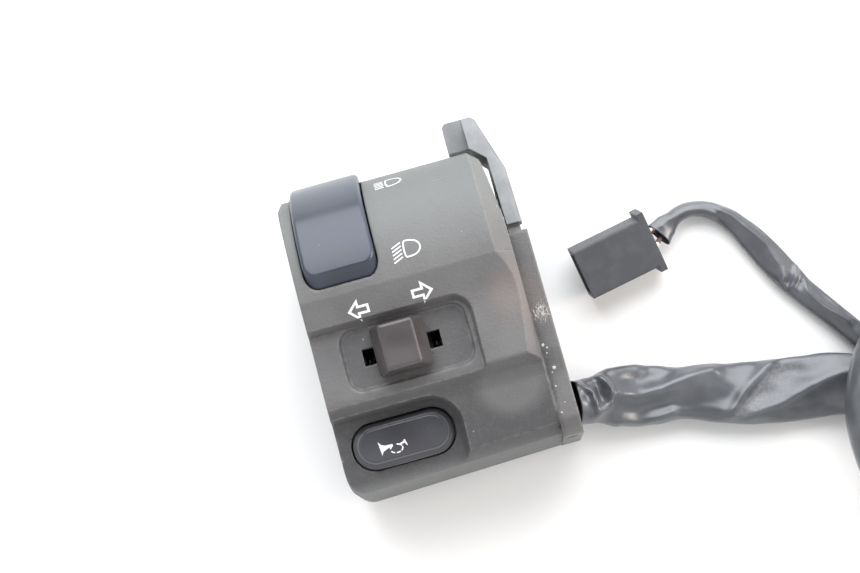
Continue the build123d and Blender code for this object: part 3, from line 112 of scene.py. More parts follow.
# %% A socket that does arithmetic
class Tap:
    """One output socket of a node, which can be added, taken away and scaled."""

    def __init__(self, tree, socket):
        self.tree = tree
        self.socket = socket

    def node(self, kind, settings, sockets, out=0):
        """Any node: its settings come first, then the values or links of its sockets."""
        made = self.tree.nodes.new("ShaderNode" + kind)
        for name, value in settings.items():
            if name == "stops":
                set_stops(made.color_ramp, value)
            else:
                setattr(made, name, value)
        for name, value in sockets.items():
            if isinstance(value, Tap):
                self.tree.links.new(value.socket, made.inputs[name])
            else:
                made.inputs[name].default_value = value
        return Tap(self.tree, made.outputs[out])

    def join(self, operation, first, second):
        """Maths on two values, or on a colour or vector and anything."""
        for part in (first, second):
            if isinstance(part, Tap) and part.socket.type != "VALUE":
                return self.node("VectorMath", {"operation": operation}, {0: first, 1: second})
        return self.node("Math", {"operation": operation}, {0: first, 1: second})

    def __add__(self, other):
        return self.join("ADD", self, other)

    def __radd__(self, other):
        return self.join("ADD", other, self)

    def __sub__(self, other):
        return self.join("SUBTRACT", self, other)

    def __rsub__(self, other):
        return self.join("SUBTRACT", other, self)

    def __mul__(self, other):
        return self.join("MULTIPLY", self, other)

    def __rmul__(self, other):
        return self.join("MULTIPLY", other, self)

    def apply(self, operation, other=0.0):
        """One of the maths node's own operations on a value."""
        return self.node("Math", {"operation": operation}, {0: self, 1: other})

    def measure(self, operation, other):
        """A number from two vectors, such as their distance."""
        return self.node("VectorMath", {"operation": operation}, {0: self, 1: other}, out="Value")

    def ramp(self, low, high):
        """Smooth step from 0 below low to 1 above high."""
        sockets = {"Value": self, "From Min": low, "From Max": high}
        return self.node("MapRange", {"interpolation_type": "SMOOTHSTEP"}, sockets)

    def tint(self, first, second):
        """Colour that goes from first to second as this value goes from 0 to 1."""
        return self.node("Mix", {"data_type": "RGBA"}, {0: self, 6: first, 7: second}, out=2)


def set_stops(ramp, stops):
    """Fill a colour ramp from (place, colour) pairs."""
    while len(ramp.elements) < len(stops):
        ramp.elements.new(1.0)
    for element, (place, colour) in zip(ramp.elements, stops):
        element.position = place
        element.color = colour


print("a tap knows +, - and *, from either side")

# %% [markdown]
# A finish is one material. Its places are object coordinates, in metres, so a
# grain of 0.3 mm is written as 0.3 * mm. Moulded plastic never has a sharp
# edge. New faces could round each one, but the bevel node rounds the light on
# all of them at once. Wear then goes where the rounded light leaves the flat
# one, and painted shade where a corner is closed in.

# %% A finish
def grey(value, warm=0.0):
    """Neutral colour, a little warmer or cooler."""
    return (value * (1 + warm), value, value * (1 - warm), 1.0)


def shade(colour, factor):
    """The same colour, paler or darker."""
    return tuple(part * factor for part in colour[:3]) + (1.0,)


def laid_over(base, *layers):
    """Colour after each layer, a mask and its colour, is laid over the ones before."""
    for mask, colour in layers:
        base = mask.tint(base, colour)
    return base


class Finish:
    """One procedural material for the object's own pieces."""

    def __init__(self, name, roughness, edge=0.25 * mm):
        self.material = bpy.data.materials.new(name)
        self.material.use_nodes = True
        tree = self.material.node_tree
        self.shader = tree.nodes["Principled BSDF"]
        self.start = Tap(tree, tree.nodes.new("ShaderNodeTexCoord").outputs["Object"])
        self.soft = self.start.node("Bevel", {"samples": 4}, {"Radius": edge})
        self.set("Roughness", roughness)

    def set(self, name, value):
        """Give a socket of the shader a value or a link."""
        socket = self.shader.inputs[name]
        if isinstance(value, Tap):
            value.tree.links.new(value.socket, socket)
        else:
            socket.default_value = value

    def noise(self, grain, detail=2.0, stretch=(1, 1, 1), rough=0.5):
        """Soft noise whose spots are about one grain across."""
        place = self.start * stretch
        sockets = {"Vector": place, "Scale": 1 / grain, "Detail": detail, "Roughness": rough}
        return self.start.node("TexNoise", {}, sockets)

    def specks(self, spacing, share, size):
        """Round dots: a share of the cells of a random pattern, each a given part of its cell."""
        sockets = {"Vector": self.start, "Scale": 1 / spacing}
        near = self.start.node("TexVoronoi", {}, sockets, out="Distance")
        cell = self.start.node("TexVoronoi", {}, sockets, out="Color")
        chance = self.start.node("SeparateColor", {}, {"Color": cell}, out="Red")
        return chance.ramp(1 - share, 1.01 - share) * (1 - near.ramp(size * 0.6, size))

    def along(self, axis):
        """The place along one axis, in metres."""
        return self.start.node("SeparateXYZ", {}, {"Vector": self.start}, out=axis)

    def spot(self, centre, radius):
        """1 at a point, fading to 0 at a radius."""
        return 1 - self.start.measure("DISTANCE", centre).ramp(0.0, radius)

    def worn(self, low, high):
        """1 on sharp edges, where the rounded normal leaves the flat one."""
        flat = self.start.node("NewGeometry", {}, {}, out="Normal")
        return (1 - flat.measure("DOT_PRODUCT", self.soft)).ramp(low, high)

    def crease(self, reach):
        """1 deep in a corner, 0 on open faces; reach is how far its walls still count."""
        own_walls = {"samples": 6, "only_local": True}
        return 1 - self.start.node("AmbientOcclusion", own_walls, {"Distance": reach}, out="AO")

    def between(self, axis, low, high, fade):
        """1 between two places on one axis, in metres, with soft ends."""
        place = self.along(axis)
        return place.ramp(low - fade, low + fade) * (1 - place.ramp(high - fade, high + fade))

    def crown(self, height, depth):
        """Bend the light as if a pattern of 0 to 1 stood up by a depth in metres."""
        sockets = {"Strength": 1.0, "Distance": depth, "Height": height, "Normal": self.soft}
        self.soft = self.start.node("Bump", {}, sockets)

    def bump(self, height, depth):
        """The last crown, such as the grain, which goes to the shader."""
        self.crown(height, depth)
        self.plain()

    def plain(self):
        """Give the shader the normal as it is so far."""
        self.set("Normal", self.soft)


def paint(node_names, finish):
    """Give CAD nodes one finish."""
    for name in node_names:
        piece = nodes[name]
        piece.data.materials.clear()
        piece.data.materials.append(finish.material)


print("shader helpers ready")

# %% [markdown]
# ## Floor and light
# The photograph is bright all round: the white tabletop burns out, a cool
# window stands beyond the dome, and a warmer light to the right. The sky could
# be one even tone, but level faces come out darker in the photograph, since
# they mirror what is right overhead. So the sky is white half way up, dim low
# down and dark at the top, from the same kind of nodes as a finish.

# %% Sky
sky_strength = 1.28
# Height as a share, from straight down at 0 to straight up at 1, and the tone there.
sky_tones = [(0.0, 0.40), (0.30, 0.90), (0.72, 1.00), (0.92, 0.50), (1.0, 0.22)]
sky_stops = [(height, (tone * 0.97, tone * 0.985, tone, 1)) for height, tone in sky_tones]
sky = bpy.data.worlds.new("studio")
sky.use_nodes = True
sky_shader = sky.node_tree.nodes["Background"]
sky_shader.inputs["Strength"].default_value = sky_strength
sky_start = Tap(sky.node_tree, sky.node_tree.nodes.new("ShaderNodeTexCoord").outputs["Generated"])
sky_height = sky_start.node("SeparateXYZ", {}, {"Vector": sky_start}, out="Z")
sky_tone = sky_start.node("ValToRGB", {"stops": sky_stops}, {"Fac": sky_height}, out="Color")
sky.node_tree.links.new(sky_tone.socket, sky_shader.inputs["Color"])
bpy.context.scene.world = sky
bpy.context.scene.view_settings.view_transform = "Standard"
print("sky tones", len(sky_tones))

# %% [markdown]
# The window is one large soft lamp, and the warmer light a smaller one, low
# down, as a doorway is. Lamps could have hard edges, but the photograph's
# shadows have none. The tabletop is a plain pale plane just under the cluster.

# %% Lamps and tabletop
floor_z = cad_box[0][2]
floor_gap = 0.2 * mm


def area_light(name, place, width, power, colour):
    """Large soft lamp that points at the cluster."""
    data = bpy.data.lights.new(name, "AREA")
    data.shape = "SQUARE"
    data.size = width
    data.energy = power
    data.color = colour
    lamp = bpy.data.objects.new(name, data)
    bpy.context.collection.objects.link(lamp)
    lamp.location = place
    lamp.rotation_euler = (-Vector(place)).to_track_quat("-Z", "Y").to_euler()


area_light("window", (0.15, 0.85, 0.75), 1.4, 24, (0.93, 0.96, 1.0))
area_light("doorway", (1.05, -0.12, 0.34), 0.5, 8, (1.0, 0.90, 0.82))
bpy.ops.mesh.primitive_plane_add(size=6.0, location=(0, 0, floor_z - floor_gap))
tabletop = bpy.context.object
tabletop.name = "tabletop"
table_paint = Finish("tabletop_paint", 0.5, edge=0.1 * mm)
table_paint.set("Base Color", (0.88, 0.87, 0.855, 1))
tabletop.data.materials.append(table_paint.material)
print("tabletop at", round(tabletop.location.z, 4))

# %% [markdown]
# ## Housing
# The housing is black nylon that the sun has greyed. Its tones also hold painted
# light and shade: greener and paler on the dome's far end and the bottom wall,
# and paler on the lower right slope, where light falls on them, a painted warm
# reflection on the inboard ridge's flank, and painted shade in its recesses,
# corners and low down. A painted image could say where, but an image needs a
# file. So each tone has a mask, from a place, a height or a noise, and is laid
# over the one before.

# %% Housing tones
def housing_tone(finish, fade, cloud, grain):
    """Colour of the greyed nylon, with its painted light and shade, before dirt."""
    nylon = fade.ramp(0.35, 0.7).tint((0.112, 0.107, 0.107, 1), (0.134, 0.130, 0.129, 1))
    # Painted shade: darker below about 25 mm up, except at the guard's outer edge.
    low_shade = (1 - finish.along(2).ramp(20 * mm, 30 * mm)) * (1 - finish.along(0).ramp(28 * mm, 29.5 * mm))
    # Paler and greener at the dome's far end and along the bottom wall: sun greying, and painted light where
    # the window and the bright tabletop light them.
    sunned_and_lit = finish.along(1).ramp(-10 * mm, 20 * mm) + (1 - finish.along(1).ramp(-51 * mm, -47 * mm))
    # Painted light: paler on the lower right slope beside the horn pocket, which faces the lamps.
    lit_slope = finish.spot((19 * mm, -33 * mm, 22 * mm), 14 * mm).ramp(0.1, 0.6)
    # Painted warm reflection: a brown tint on the inboard ridge's right flank, which faces the warm lamp.
    warm_reflection = finish.spot((25.5 * mm, -13 * mm, 24 * mm), 15 * mm).ramp(0.1, 0.7) * fade.ramp(0.2, 0.5)
    # Painted shade in the turn switch's recess and on the slope under the rib.
    recess_shade = finish.between(1, -27 * mm, -11.5 * mm, 0.5 * mm)
    recess_shade = recess_shade * finish.between(2, 24.5 * mm, 26.5 * mm, 0.2 * mm)
    under_rib_shade = finish.between(1, -34 * mm, -28 * mm, 1.2 * mm)
    # Painted shade: darker in closed corners, in the recess and under the rib.
    painted_shade = finish.crease(5 * mm).ramp(0.12, 0.60) * 0.55 + recess_shade * 0.30 + under_rib_shade * 0.28
    edge = finish.worn(0.004, 0.10) * cloud.ramp(0.30, 0.60)
    return laid_over(
        nylon,
        (low_shade * 0.85, (0.054, 0.053, 0.056, 1)),
        (sunned_and_lit * 0.6, (0.170, 0.182, 0.174, 1)),
        (lit_slope * 0.75, (0.150, 0.148, 0.148, 1)),
        (warm_reflection * 0.6, (0.185, 0.150, 0.138, 1)),
        (painted_shade, (0.030, 0.029, 0.031, 1)),
        (cloud.ramp(0.45, 0.75) * 0.25, grey(0.13, 0.01)),
        (grain.ramp(0.52, 0.72) * 0.14, grey(0.19)),
        (edge * 0.55, (0.30, 0.28, 0.265, 1)),
    )


print("housing tones ready")

# %% [markdown]
# Dirty water has splashed the guard and dried there, in a smear and a row of
# drops. Noise alone would put drops anywhere, so these stand where the
# photograph has them, and noise only frays their borders.

# %% Dried drops
guard_face_z = 19.4
# Place on the guard's face, and radius, in mm.
drops = [
    ((29.1, -26.7), 0.75), ((29.9, -27.6), 0.4), ((29.5, -28.9), 0.5), ((30.3, -32.8), 0.9),
    ((29.5, -33.9), 0.35), ((29.4, -37.5), 0.4), ((29.1, -44.1), 0.4), ((30.5, -41.9), 0.25),
]


def dried_dirt(finish):
    """Mask of the smear and the drops."""
    fray = finish.noise(0.30 * mm, 4.0, rough=0.75)
    streak = finish.noise(0.42 * mm, 4.0, stretch=(1.0, 0.45, 1.0), rough=0.8)
    splash = finish.spot((31.0 * mm, -18.5 * mm, guard_face_z * mm), 6.5 * mm)
    dirt = (streak + splash * 0.36).ramp(0.76, 0.90) * 0.75
    for (x, y), radius in drops:
        drop = finish.spot((x * mm, y * mm, guard_face_z * mm), radius * mm)
        dirt = dirt + (drop + (fray - 0.5) * 2.3).ramp(0.46, 0.60)
    return dirt


print("dried drops", len(drops))

# %% [markdown]
# The finish puts these together with long scratches, scattered dust, and the
# relief that goes with them: a fine moulded grain, a softer waviness under it,
# and dirt that stands up a little.

# %% Housing finish
def housing_finish():
    """Sun-greyed nylon with its wear and dirt."""
    finish = Finish("housing_nylon", 0.6, edge=0.9 * mm)
    fade = finish.noise(14 * mm, 3.0)
    grain = finish.noise(0.45 * mm, 2.0)
    peel = finish.noise(0.9 * mm, 1.0)
    cloud = finish.noise(2.2 * mm, 4.0, rough=0.7)
    scratch = finish.noise(0.5 * mm, 1.0, stretch=(0.06, 1.0, 1.0)).ramp(0.70, 0.74)
    scratch = scratch * finish.noise(9 * mm, 1.0).ramp(0.54, 0.66)
    dirt = dried_dirt(finish)
    finish.set("Base Color", laid_over(
        housing_tone(finish, fade, cloud, grain),
        (scratch * 0.22, grey(0.20, 0.02)),
        (dirt * 0.85, (0.66, 0.65, 0.60, 1)),
        (finish.specks(3.4 * mm, 0.10, 0.07) * 0.6, grey(0.45)),
    ))
    finish.set("Roughness", 0.46 + fade * 0.12 + grain * 0.16 + scratch * -0.1)
    finish.bump(grain * 0.7 + peel * 1.3 + cloud * 0.4 + scratch * -0.8 + dirt * 1.5, 0.06 * mm)
    return finish


housing = housing_finish()
paint(["front_housing", "rear_housing"], housing)
print("housing nodes", len(housing.material.node_tree.nodes))

# %% [markdown]
# ## Rocker, knob and horn button
# Thumbs polish these three, so they shine where the housing is dull. A low
# roughness alone looks like new plastic. So they have a thin coat, smears that
# dull it in patches, fine hairlines, pale rubbed edges and a few specks of dust.
# The horn button also has a painted highlight, a pale line along its rim.

# %% Polished switch plastic
def horn_pillow(finish):
    """1 on the flat middle of the oval horn button, falling to 0 at its rim."""
    end = ((finish.along(0) + 10.8 * mm).apply("ABSOLUTE") - 7.15 * mm).apply("MAXIMUM")
    side = (finish.along(1) + 39.9 * mm) * 1.03
    return 1 - (end * end + side * side).apply("SQRT").ramp(3.7 * mm, 5.3 * mm)


def polished_finish(name, colour, rough, smear, pillow=None):
    """Thumb-polished plastic; a pillow is a mask whose rim gets a thin painted highlight line."""
    finish = Finish(name, rough, edge=0.35 * mm)
    if pillow:
        finish.crown(pillow(finish), 0.45 * mm)
    touch = finish.noise(9 * mm, 1.5, stretch=(0.6, 1.0, 1.0))
    hair = finish.noise(0.3 * mm, 1.0, stretch=(1.0, 0.08, 1.0)).ramp(0.68, 0.74)
    hair = hair * finish.noise(6 * mm, 1.0).ramp(0.45, 0.65)
    smears = touch.ramp(0.3, 0.75)
    layers = [(smears * 0.4 + finish.worn(0.01, 0.15) * 0.5, shade(colour, 2.2))]
    if pillow:
        # Painted highlight: a thin pale line along the pillow's rim stands for the light on the horn
        # button's bevel.
        highlight_pillow = pillow(finish)
        layers.append(((highlight_pillow * (1 - highlight_pillow) * 4).ramp(0.75, 1.0) * 0.6, grey(0.16)))
    layers.append((finish.specks(1.6 * mm, 0.10, 0.07) * 0.7, grey(0.4)))
    finish.set("Base Color", laid_over(colour, *layers))
    finish.set("Roughness", rough + smears * smear + hair * 0.10)
    finish.set("Coat Weight", 0.25)
    finish.set("Coat Roughness", 0.12)
    finish.bump(touch * 0.6 + hair * -0.5, 0.02 * mm)
    return finish


rocker_paint = polished_finish("rocker_plastic", (0.024, 0.030, 0.046, 1.0), 0.32, 0.12)
knob_paint = polished_finish("knob_plastic", (0.046, 0.040, 0.040, 1.0), 0.24, 0.16)
horn_paint = polished_finish("horn_plastic", (0.034, 0.034, 0.040, 1.0), 0.15, 0.10, horn_pillow)
paint(["dimmer_rocker"], rocker_paint)
paint(["turn_knob"], knob_paint)
paint(["horn_button"], horn_paint)
print("polished finishes", 3)

# %% [markdown]
# ## Choke lever and the connectors
# The lever's satin black has gone grey with handling, and its corners are
# paler. The connectors are newer and darker. Inside, the switch bases are cream
# nylon, and a nearly black carriage shows through the turn switch's slot. All
# are one kind of moulding, so one function makes them, from their own colours.

# %% Satin and moulded plastic
def moulded_finish(name, colour, rough, grain_size, rub):
    """Moulded plastic with a fine grain; rub is how much its edges have paled."""
    finish = Finish(name, rough, edge=0.3 * mm)
    cloud = finish.noise(5 * mm, 3.0)
    grain = finish.noise(grain_size, 2.0)
    rubbed = finish.worn(0.004, 0.08) * finish.noise(1.5 * mm, 3.0).ramp(0.35, 0.65)
    layers = [(cloud.ramp(0.35, 0.7), shade(colour, 1.3)), (rubbed * rub, shade(colour, 1.9))]
    finish.set("Base Color", laid_over(colour, *layers))
    finish.set("Roughness", rough + grain * 0.12 + cloud * 0.08)
    finish.bump(grain + cloud * 0.6, 0.03 * mm)
    return finish


lever_satin = moulded_finish("lever_satin", (0.170, 0.174, 0.178, 1.0), 0.40, 0.4 * mm, 0.5)
plug_plastic = moulded_finish("plug_moulded", (0.060, 0.062, 0.068, 1.0), 0.45, 0.5 * mm, 0.4)
base_nylon = moulded_finish("switch_base_nylon", (0.50, 0.46, 0.36, 1.0), 0.45, 0.6 * mm, 0.1)
carriage_nylon = moulded_finish("carriage_nylon", (0.022, 0.027, 0.025, 1.0), 0.5, 0.6 * mm, 0.1)
paint(["choke_lever"], lever_satin)
paint(["clutch_plug", "main_plug"], plug_plastic)
paint(["dimmer_base", "detent_plunger", "turn_stem", "horn_base"], base_nylon)
paint(["turn_carriage", "turn_tray"], carriage_nylon)
print("moulded finishes", 4)

# %% [markdown]
# ## Metal inside and behind
# The screws are yellow zinc with patches of rust, the springs are bright wire,
# and the contacts are brass that has gone brown in places. A clean metal would
# do for parts that hardly show, but one function gives all four their stains:
# where a patch is, the metal is duller, rougher and a little less of a metal.

# %% Metals
def metal_finish(name, colour, stain, rough, stretch):
    """Brushed metal with stained patches; stretch is the way the brush ran."""
    finish = Finish(name, rough, edge=0.12 * mm)
    brush = finish.noise(0.4 * mm, 3.0, stretch=stretch)
    patch = finish.noise(2.5 * mm, 4.0, rough=0.6).ramp(0.52, 0.72)
    finish.set("Base Color", patch.tint(colour, stain))
    finish.set("Metallic", 1 - patch * 0.4)
    finish.set("Roughness", rough + brush * 0.2 + patch * 0.25)
    finish.bump(brush + patch, 0.02 * mm)
    return finish


screw_zinc = metal_finish("screw_zinc", (0.52, 0.48, 0.36, 1), (0.20, 0.13, 0.07, 1), 0.28, (1, 1, 0.2))
spring_wire = metal_finish("spring_wire", (0.62, 0.62, 0.63, 1), (0.32, 0.30, 0.27, 1), 0.22, (1, 1, 1))
brass = metal_finish("contact_brass", (0.80, 0.62, 0.30, 1), (0.38, 0.26, 0.13, 1), 0.25, (0.2, 1, 1))
tin = metal_finish("pin_tin", (0.72, 0.71, 0.67, 1), (0.42, 0.40, 0.36, 1), 0.30, (0.2, 1, 1))
paint(["housing_screws", "module_screws", "dimmer_pivot_pins"], screw_zinc)
paint(["detent_spring", "return_springs", "cancel_spring", "horn_spring", "choke_washer"], spring_wire)
paint(["dimmer_terminals", "dimmer_blade", "turn_terminals", "horn_disc", "horn_contacts"], brass)
paint(["clutch_pins", "main_pins"], tin)
print("metals", 4)

# %% [markdown]
# ## Rubber, vinyl and tape
# The collar is dull rubber, the tape has a glossier skin with fine ripples, and
# the wires are plain vinyl. Each could be one flat black, but soft black things
# show by their chalk: it gathers where they rub, and takes the sheen off there.

# %% Soft black finishes
def soft_finish(name, colour, rough, chalk, ripple):
    """Soft black skin with chalky rubs, and ripples of a given depth."""
    finish = Finish(name, rough, edge=0.15 * mm)
    cloud = finish.noise(7 * mm, 4.0, rough=0.6)
    grain = finish.noise(0.45 * mm, 3.0)
    rub = finish.noise(1.2 * mm, 5.0, rough=0.75).ramp(0.50, 0.70) * cloud.ramp(0.52, 0.68)
    layers = [(cloud.ramp(0.4, 0.7), shade(colour, 1.8)), (rub * chalk, grey(0.24, 0.02))]
    finish.set("Base Color", laid_over(colour, *layers))
    finish.set("Roughness", rough + cloud * 0.10 + rub * 0.20)
    finish.bump(grain * 0.5 + cloud * 1.5 + rub * 0.8, ripple)
    return finish


collar_rubber = soft_finish("collar_rubber", grey(0.035), 0.55, 0.3, 0.05 * mm)
tape_vinyl = soft_finish("tape_vinyl", grey(0.022, -0.01), 0.30, 0.2, 0.04 * mm)
wire_vinyl = soft_finish("wire_vinyl", grey(0.030), 0.35, 0.1, 0.03 * mm)
paint(["harness_collar"], collar_rubber)
print("soft finishes", 3)

# %% [markdown]
# Both sleeves are dark vinyl under a satin coat, so that every fold carries its
# own soft light. The harness has one place of its own: a chalky scuff across
# it, half way to the loop. Small noise can't make one large mark, so it is a
# slanted band between two places, whose borders the noise then breaks up.

# %% Sleeve vinyl with its scuff
def sleeve_finish():
    """Satin vinyl, with the scuff that only the harness passes through."""
    finish = Finish("sleeve_vinyl", 0.36, edge=0.15 * mm)
    cloud = finish.noise(8 * mm, 4.0, rough=0.6)
    grain = finish.noise(0.5 * mm, 3.0)
    across = finish.along(0) - (finish.along(1) + 49 * mm) * 1.39
    fray = (finish.noise(1.8 * mm, 5.0, rough=0.7) - 0.5) * (6 * mm)
    band = (across + fray * 0.6).ramp(81.4 * mm, 82.8 * mm)
    band = band * (1 - (across + fray * 2.5).ramp(84 * mm, 99 * mm))
    band = band * finish.between(1, -55.5 * mm, -44.5 * mm, 1.0 * mm)
    chalk = band * finish.noise(0.8 * mm, 5.0, rough=0.8).ramp(0.28, 0.66)
    rub = finish.noise(1.5 * mm, 5.0, rough=0.75).ramp(0.55, 0.72) * cloud.ramp(0.55, 0.7)
    finish.set("Base Color", laid_over(
        (0.052, 0.055, 0.063, 1),
        (cloud.ramp(0.4, 0.7), (0.074, 0.079, 0.089, 1)),
        (chalk * 0.75, (0.21, 0.21, 0.22, 1)),
        (rub * 0.30, grey(0.16, 0.05)),
    ))
    finish.set("Roughness", 0.30 + cloud * 0.10 + chalk * 0.35 + rub * 0.15)
    finish.set("Coat Weight", 0.6)
    finish.set("Coat Roughness", 0.30)
    finish.set("Specular IOR Level", 0.65)
    finish.bump(grain * 0.4 + cloud * 1.2 + chalk * 1.2, 0.05 * mm)
    return finish


sleeve_vinyl = sleeve_finish()
print("sleeve nodes", len(sleeve_vinyl.material.node_tree.nodes))

# %% [markdown]
# ## The printed symbols
# The high beam, low beam, arrow and horn symbols are pad printed in white. An
# image would need a file, so each is a thin film of faces: an outline drawn
# flat in millimetres, then pressed onto the CAD surface under it. Strokes are
# rings between an outline and the same outline moved inwards.

# %% Flat outlines
# How far a stroke's inner corner may run in, as the cosine of half its turn.
sharpest_lean = 0.45


def bar(start, end, width):
    """Straight stroke between two points."""
    along = (Vector(end) - Vector(start)).normalized()
    side = Vector((-along.y, along.x)) * (width / 2)
    return [Vector(start) - side, Vector(end) - side, Vector(end) + side, Vector(start) + side]


def lamp_outline(length, height, tip):
    """A lamp seen from the side: a nearly flat back and a bulging front."""
    front_steps, back_steps, back_bulge = 24, 8, 0.14
    points = []
    for step in range(front_steps + 1):
        turn = math.pi * (0.5 - step / front_steps)
        points.append(Vector((length * math.cos(turn) ** tip, height / 2 * math.sin(turn))))
    for step in range(1, back_steps):
        turn = math.pi * step / back_steps
        points.append(Vector((-back_bulge * length * math.sin(turn), -height / 2 * math.cos(turn))))
    return points


def ring(points, width):
    """A closed stroke as four-sided pieces between an outline and its inset."""
    inner = []
    for before, point, after in zip(points[-1:] + points, points, points[1:] + points[:1]):
        first = (point - before).normalized()
        second = (after - point).normalized()
        side = Vector((first.y + second.y, -first.x - second.x)).normalized()
        lean = max(sharpest_lean, side.dot(Vector((first.y, -first.x))))
        inner.append(point + side * (width / lean))
    return [[points[i - 1], points[i], inner[i], inner[i - 1]] for i in range(len(points))]


print("stroke pieces of a square", len(ring([Vector(p) for p in ((0, 0), (0, 1), (1, 1), (1, 0))], 0.1)))

# %% [markdown]
# A flat film would sink into the dome or stand off it. So each outline's pieces
# are cut small, dropped along a direction onto the CAD face, and lifted by a
# few hundredths of a millimetre, which is about as thick as ink.

# %% Press a film onto the CAD surface
film_lift = 0.04 * mm
film_step = 0.5


def surface_of(name):
    """Search tree of one CAD node's faces."""
    mesh = nodes[name].data
    corners = [vertex.co.copy() for vertex in mesh.vertices]
    return BVHTree.FromPolygons(corners, [tuple(face.vertices) for face in mesh.polygons])


def made_piece(name, data, finish):
    """Object of a mesh or curve, with its finish."""
    data.materials.clear()
    data.materials.append(finish.material)
    piece = bpy.data.objects.new(name, data)
    bpy.context.collection.objects.link(piece)
    return piece


def stand_for(piece, body, node):
    """The piece moves with a body and stands for a CAD node, which it hides."""
    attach(piece, body)
    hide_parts(node)


def press_film(name, shapes, place, body, carrier):
    """Turn flat polygons into a thin film on a CAD node; place(u, v) gives a start and a direction."""
    tree = surface_of(carrier)
    cells = bmesh.new()
    for shape in shapes:
        cells.faces.new([cells.verts.new((p.x, p.y, 0)) for p in shape])
    for normal in (Vector((1, 0, 0)), Vector((0, 1, 0))):
        marks = [vertex.co.dot(normal) for vertex in cells.verts]
        for cut in range(1, int((max(marks) - min(marks)) / film_step) + 1):
            point = normal * (min(marks) + cut * film_step)
            parts = cells.verts[:] + cells.edges[:] + cells.faces[:]
            bmesh.ops.bisect_plane(cells, geom=parts, plane_co=point, plane_no=normal)
    bmesh.ops.remove_doubles(cells, verts=cells.verts[:], dist=0.001)
    for vertex in cells.verts:
        start, direction = place(vertex.co.x, vertex.co.y)
        hit = tree.ray_cast(start, direction)[0]
        vertex.co = (hit if hit else start) - direction * film_lift
    bmesh.ops.triangulate(cells, faces=cells.faces[:])
    mesh = bpy.data.meshes.new(name)
    cells.to_mesh(mesh)
    cells.free()
    mesh.shade_smooth()
    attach(made_piece(name, mesh, ink), body)
    print(name, "film faces", len(mesh.polygons))


# %% [markdown]
# The ink has been rubbed thin in spots by thumbs, where the black plastic
# shades it. Plain white would look like a sticker, so noise greys it a little.

# %% White ink
def ink_finish():
    """White ink, thinned where thumbs have rubbed it."""
    finish = Finish("symbol_ink", 0.5, edge=0.02 * mm)
    thin = finish.noise(0.25 * mm, 4.0, rough=0.7).ramp(0.60, 0.78)
    finish.set("Base Color", (thin * 0.6).tint((0.80, 0.80, 0.82, 1), (0.30, 0.30, 0.30, 1)))
    finish.set("Roughness", 0.45 + thin * 0.2)
    finish.plain()
    return finish


ink = ink_finish()
print("ink nodes", len(ink.material.node_tree.nodes))

# %% [markdown]
# The two beam symbols sit on the dome beside the rocker: a lamp with five rays,
# level for the high beam and falling for the low one. Dropped straight down
# they would stretch on the dome's slope. So their drawing is wrapped round it:
# across stays across, and up becomes an arc.

# %% Beam symbols
dome_axis_z = 4.0
dome_reach = 29.0
above_face = 3.0
stroke = 0.36


def on_dome(u_place, v_place, lean):
    """Place of a flat point on the dome: a start outside it and the way in."""
    def place(u, v):
        u_turned = u * math.cos(lean) - v * math.sin(lean)
        v_turned = u * math.sin(lean) + v * math.cos(lean)
        arc = (v_place + v_turned) / dome_reach
        out = Vector((0, math.sin(arc), math.cos(arc)))
        axis = Vector((u_place + u_turned, 0, dome_axis_z))
        return (axis + out * (dome_reach + above_face)) * mm, -out
    return place


def beam_symbol(fall):
    """A lamp with five rays; fall is how far the rays drop over their length."""
    shapes = ring(lamp_outline(3.9, 4.6, 0.75), stroke)
    for ray in range(5):
        height = 1.9 - ray * 0.95
        shapes.append(bar((-3.3, height - fall), (-0.95, height), stroke * 0.9))
    return shapes


press_film("high_beam_symbol", beam_symbol(0.0), on_dome(1.9, 27.6, 0.05), "housing", "front_housing")
press_film("low_beam_symbol", beam_symbol(1.15), on_dome(2.45, 3.6, -0.05), "housing", "front_housing")

# %% [markdown]
# The arrows are hollow, on the sloping band over the turn switch. They could be
# wrapped as the lamps are, but the band is nearly flat. So both are one
# drawing, mirrored for the other side and pressed straight down.

# %% Arrows
arrow_stroke = 0.62
band_share = 0.92


def arrow(way):
    """Hollow arrow that points along the handlebar, outboard for -1."""
    tail, shaft, barb, tip = 2.5, 1.15, 2.9, 3.0
    points = [(-tail, shaft), (0, shaft), (0, barb), (tip, 0), (0, -barb), (0, -shaft), (-tail, -shaft)]
    if way < 0:
        points = [(-u, v) for u, v in reversed(points)]
    return ring([Vector(point) for point in points], arrow_stroke)


def straight_down(u_place, v_place):
    """Place of a flat point under a straight drop, with the slope's shortening."""
    def place(u, v):
        return Vector((u_place + u, v_place + v * band_share, 60)) * mm, Vector((0, 0, -1))
    return place


press_film("arrow_inboard", arrow(1), straight_down(3.5, -7.5), "housing", "front_housing")
press_film("arrow_outboard", arrow(-1), straight_down(-12.4, -7.75), "housing", "front_housing")

# %% [markdown]
# The horn symbol is the old coiled trumpet: a bell on the left, a loop that
# thumbs have worn into dashes, and the small mouthpiece on the right. A whole
# loop with worn noise on it would fade, not break, so each dash is drawn.

# %% Horn symbol
horn_bell = [(-6.4, 1.35), (-6.15, -2.3), (-5.6, -1.35), (-4.4, -0.85),
             (-2.9, -0.45), (-2.9, 0.0), (-4.7, 0.05), (-5.7, 0.4)]
horn_mouth = [(-1.3, -0.75), (0.1, -0.45), (0.55, -1.25), (0.75, -1.2),
              (0.35, 0.45), (0.15, 0.4), (-0.2, 0.0), (-1.3, -0.35)]
loop_centre = Vector((-2.2, -1.35))
loop_size = Vector((1.75, 1.25))
loop_stroke = Vector((0.34, 0.34))
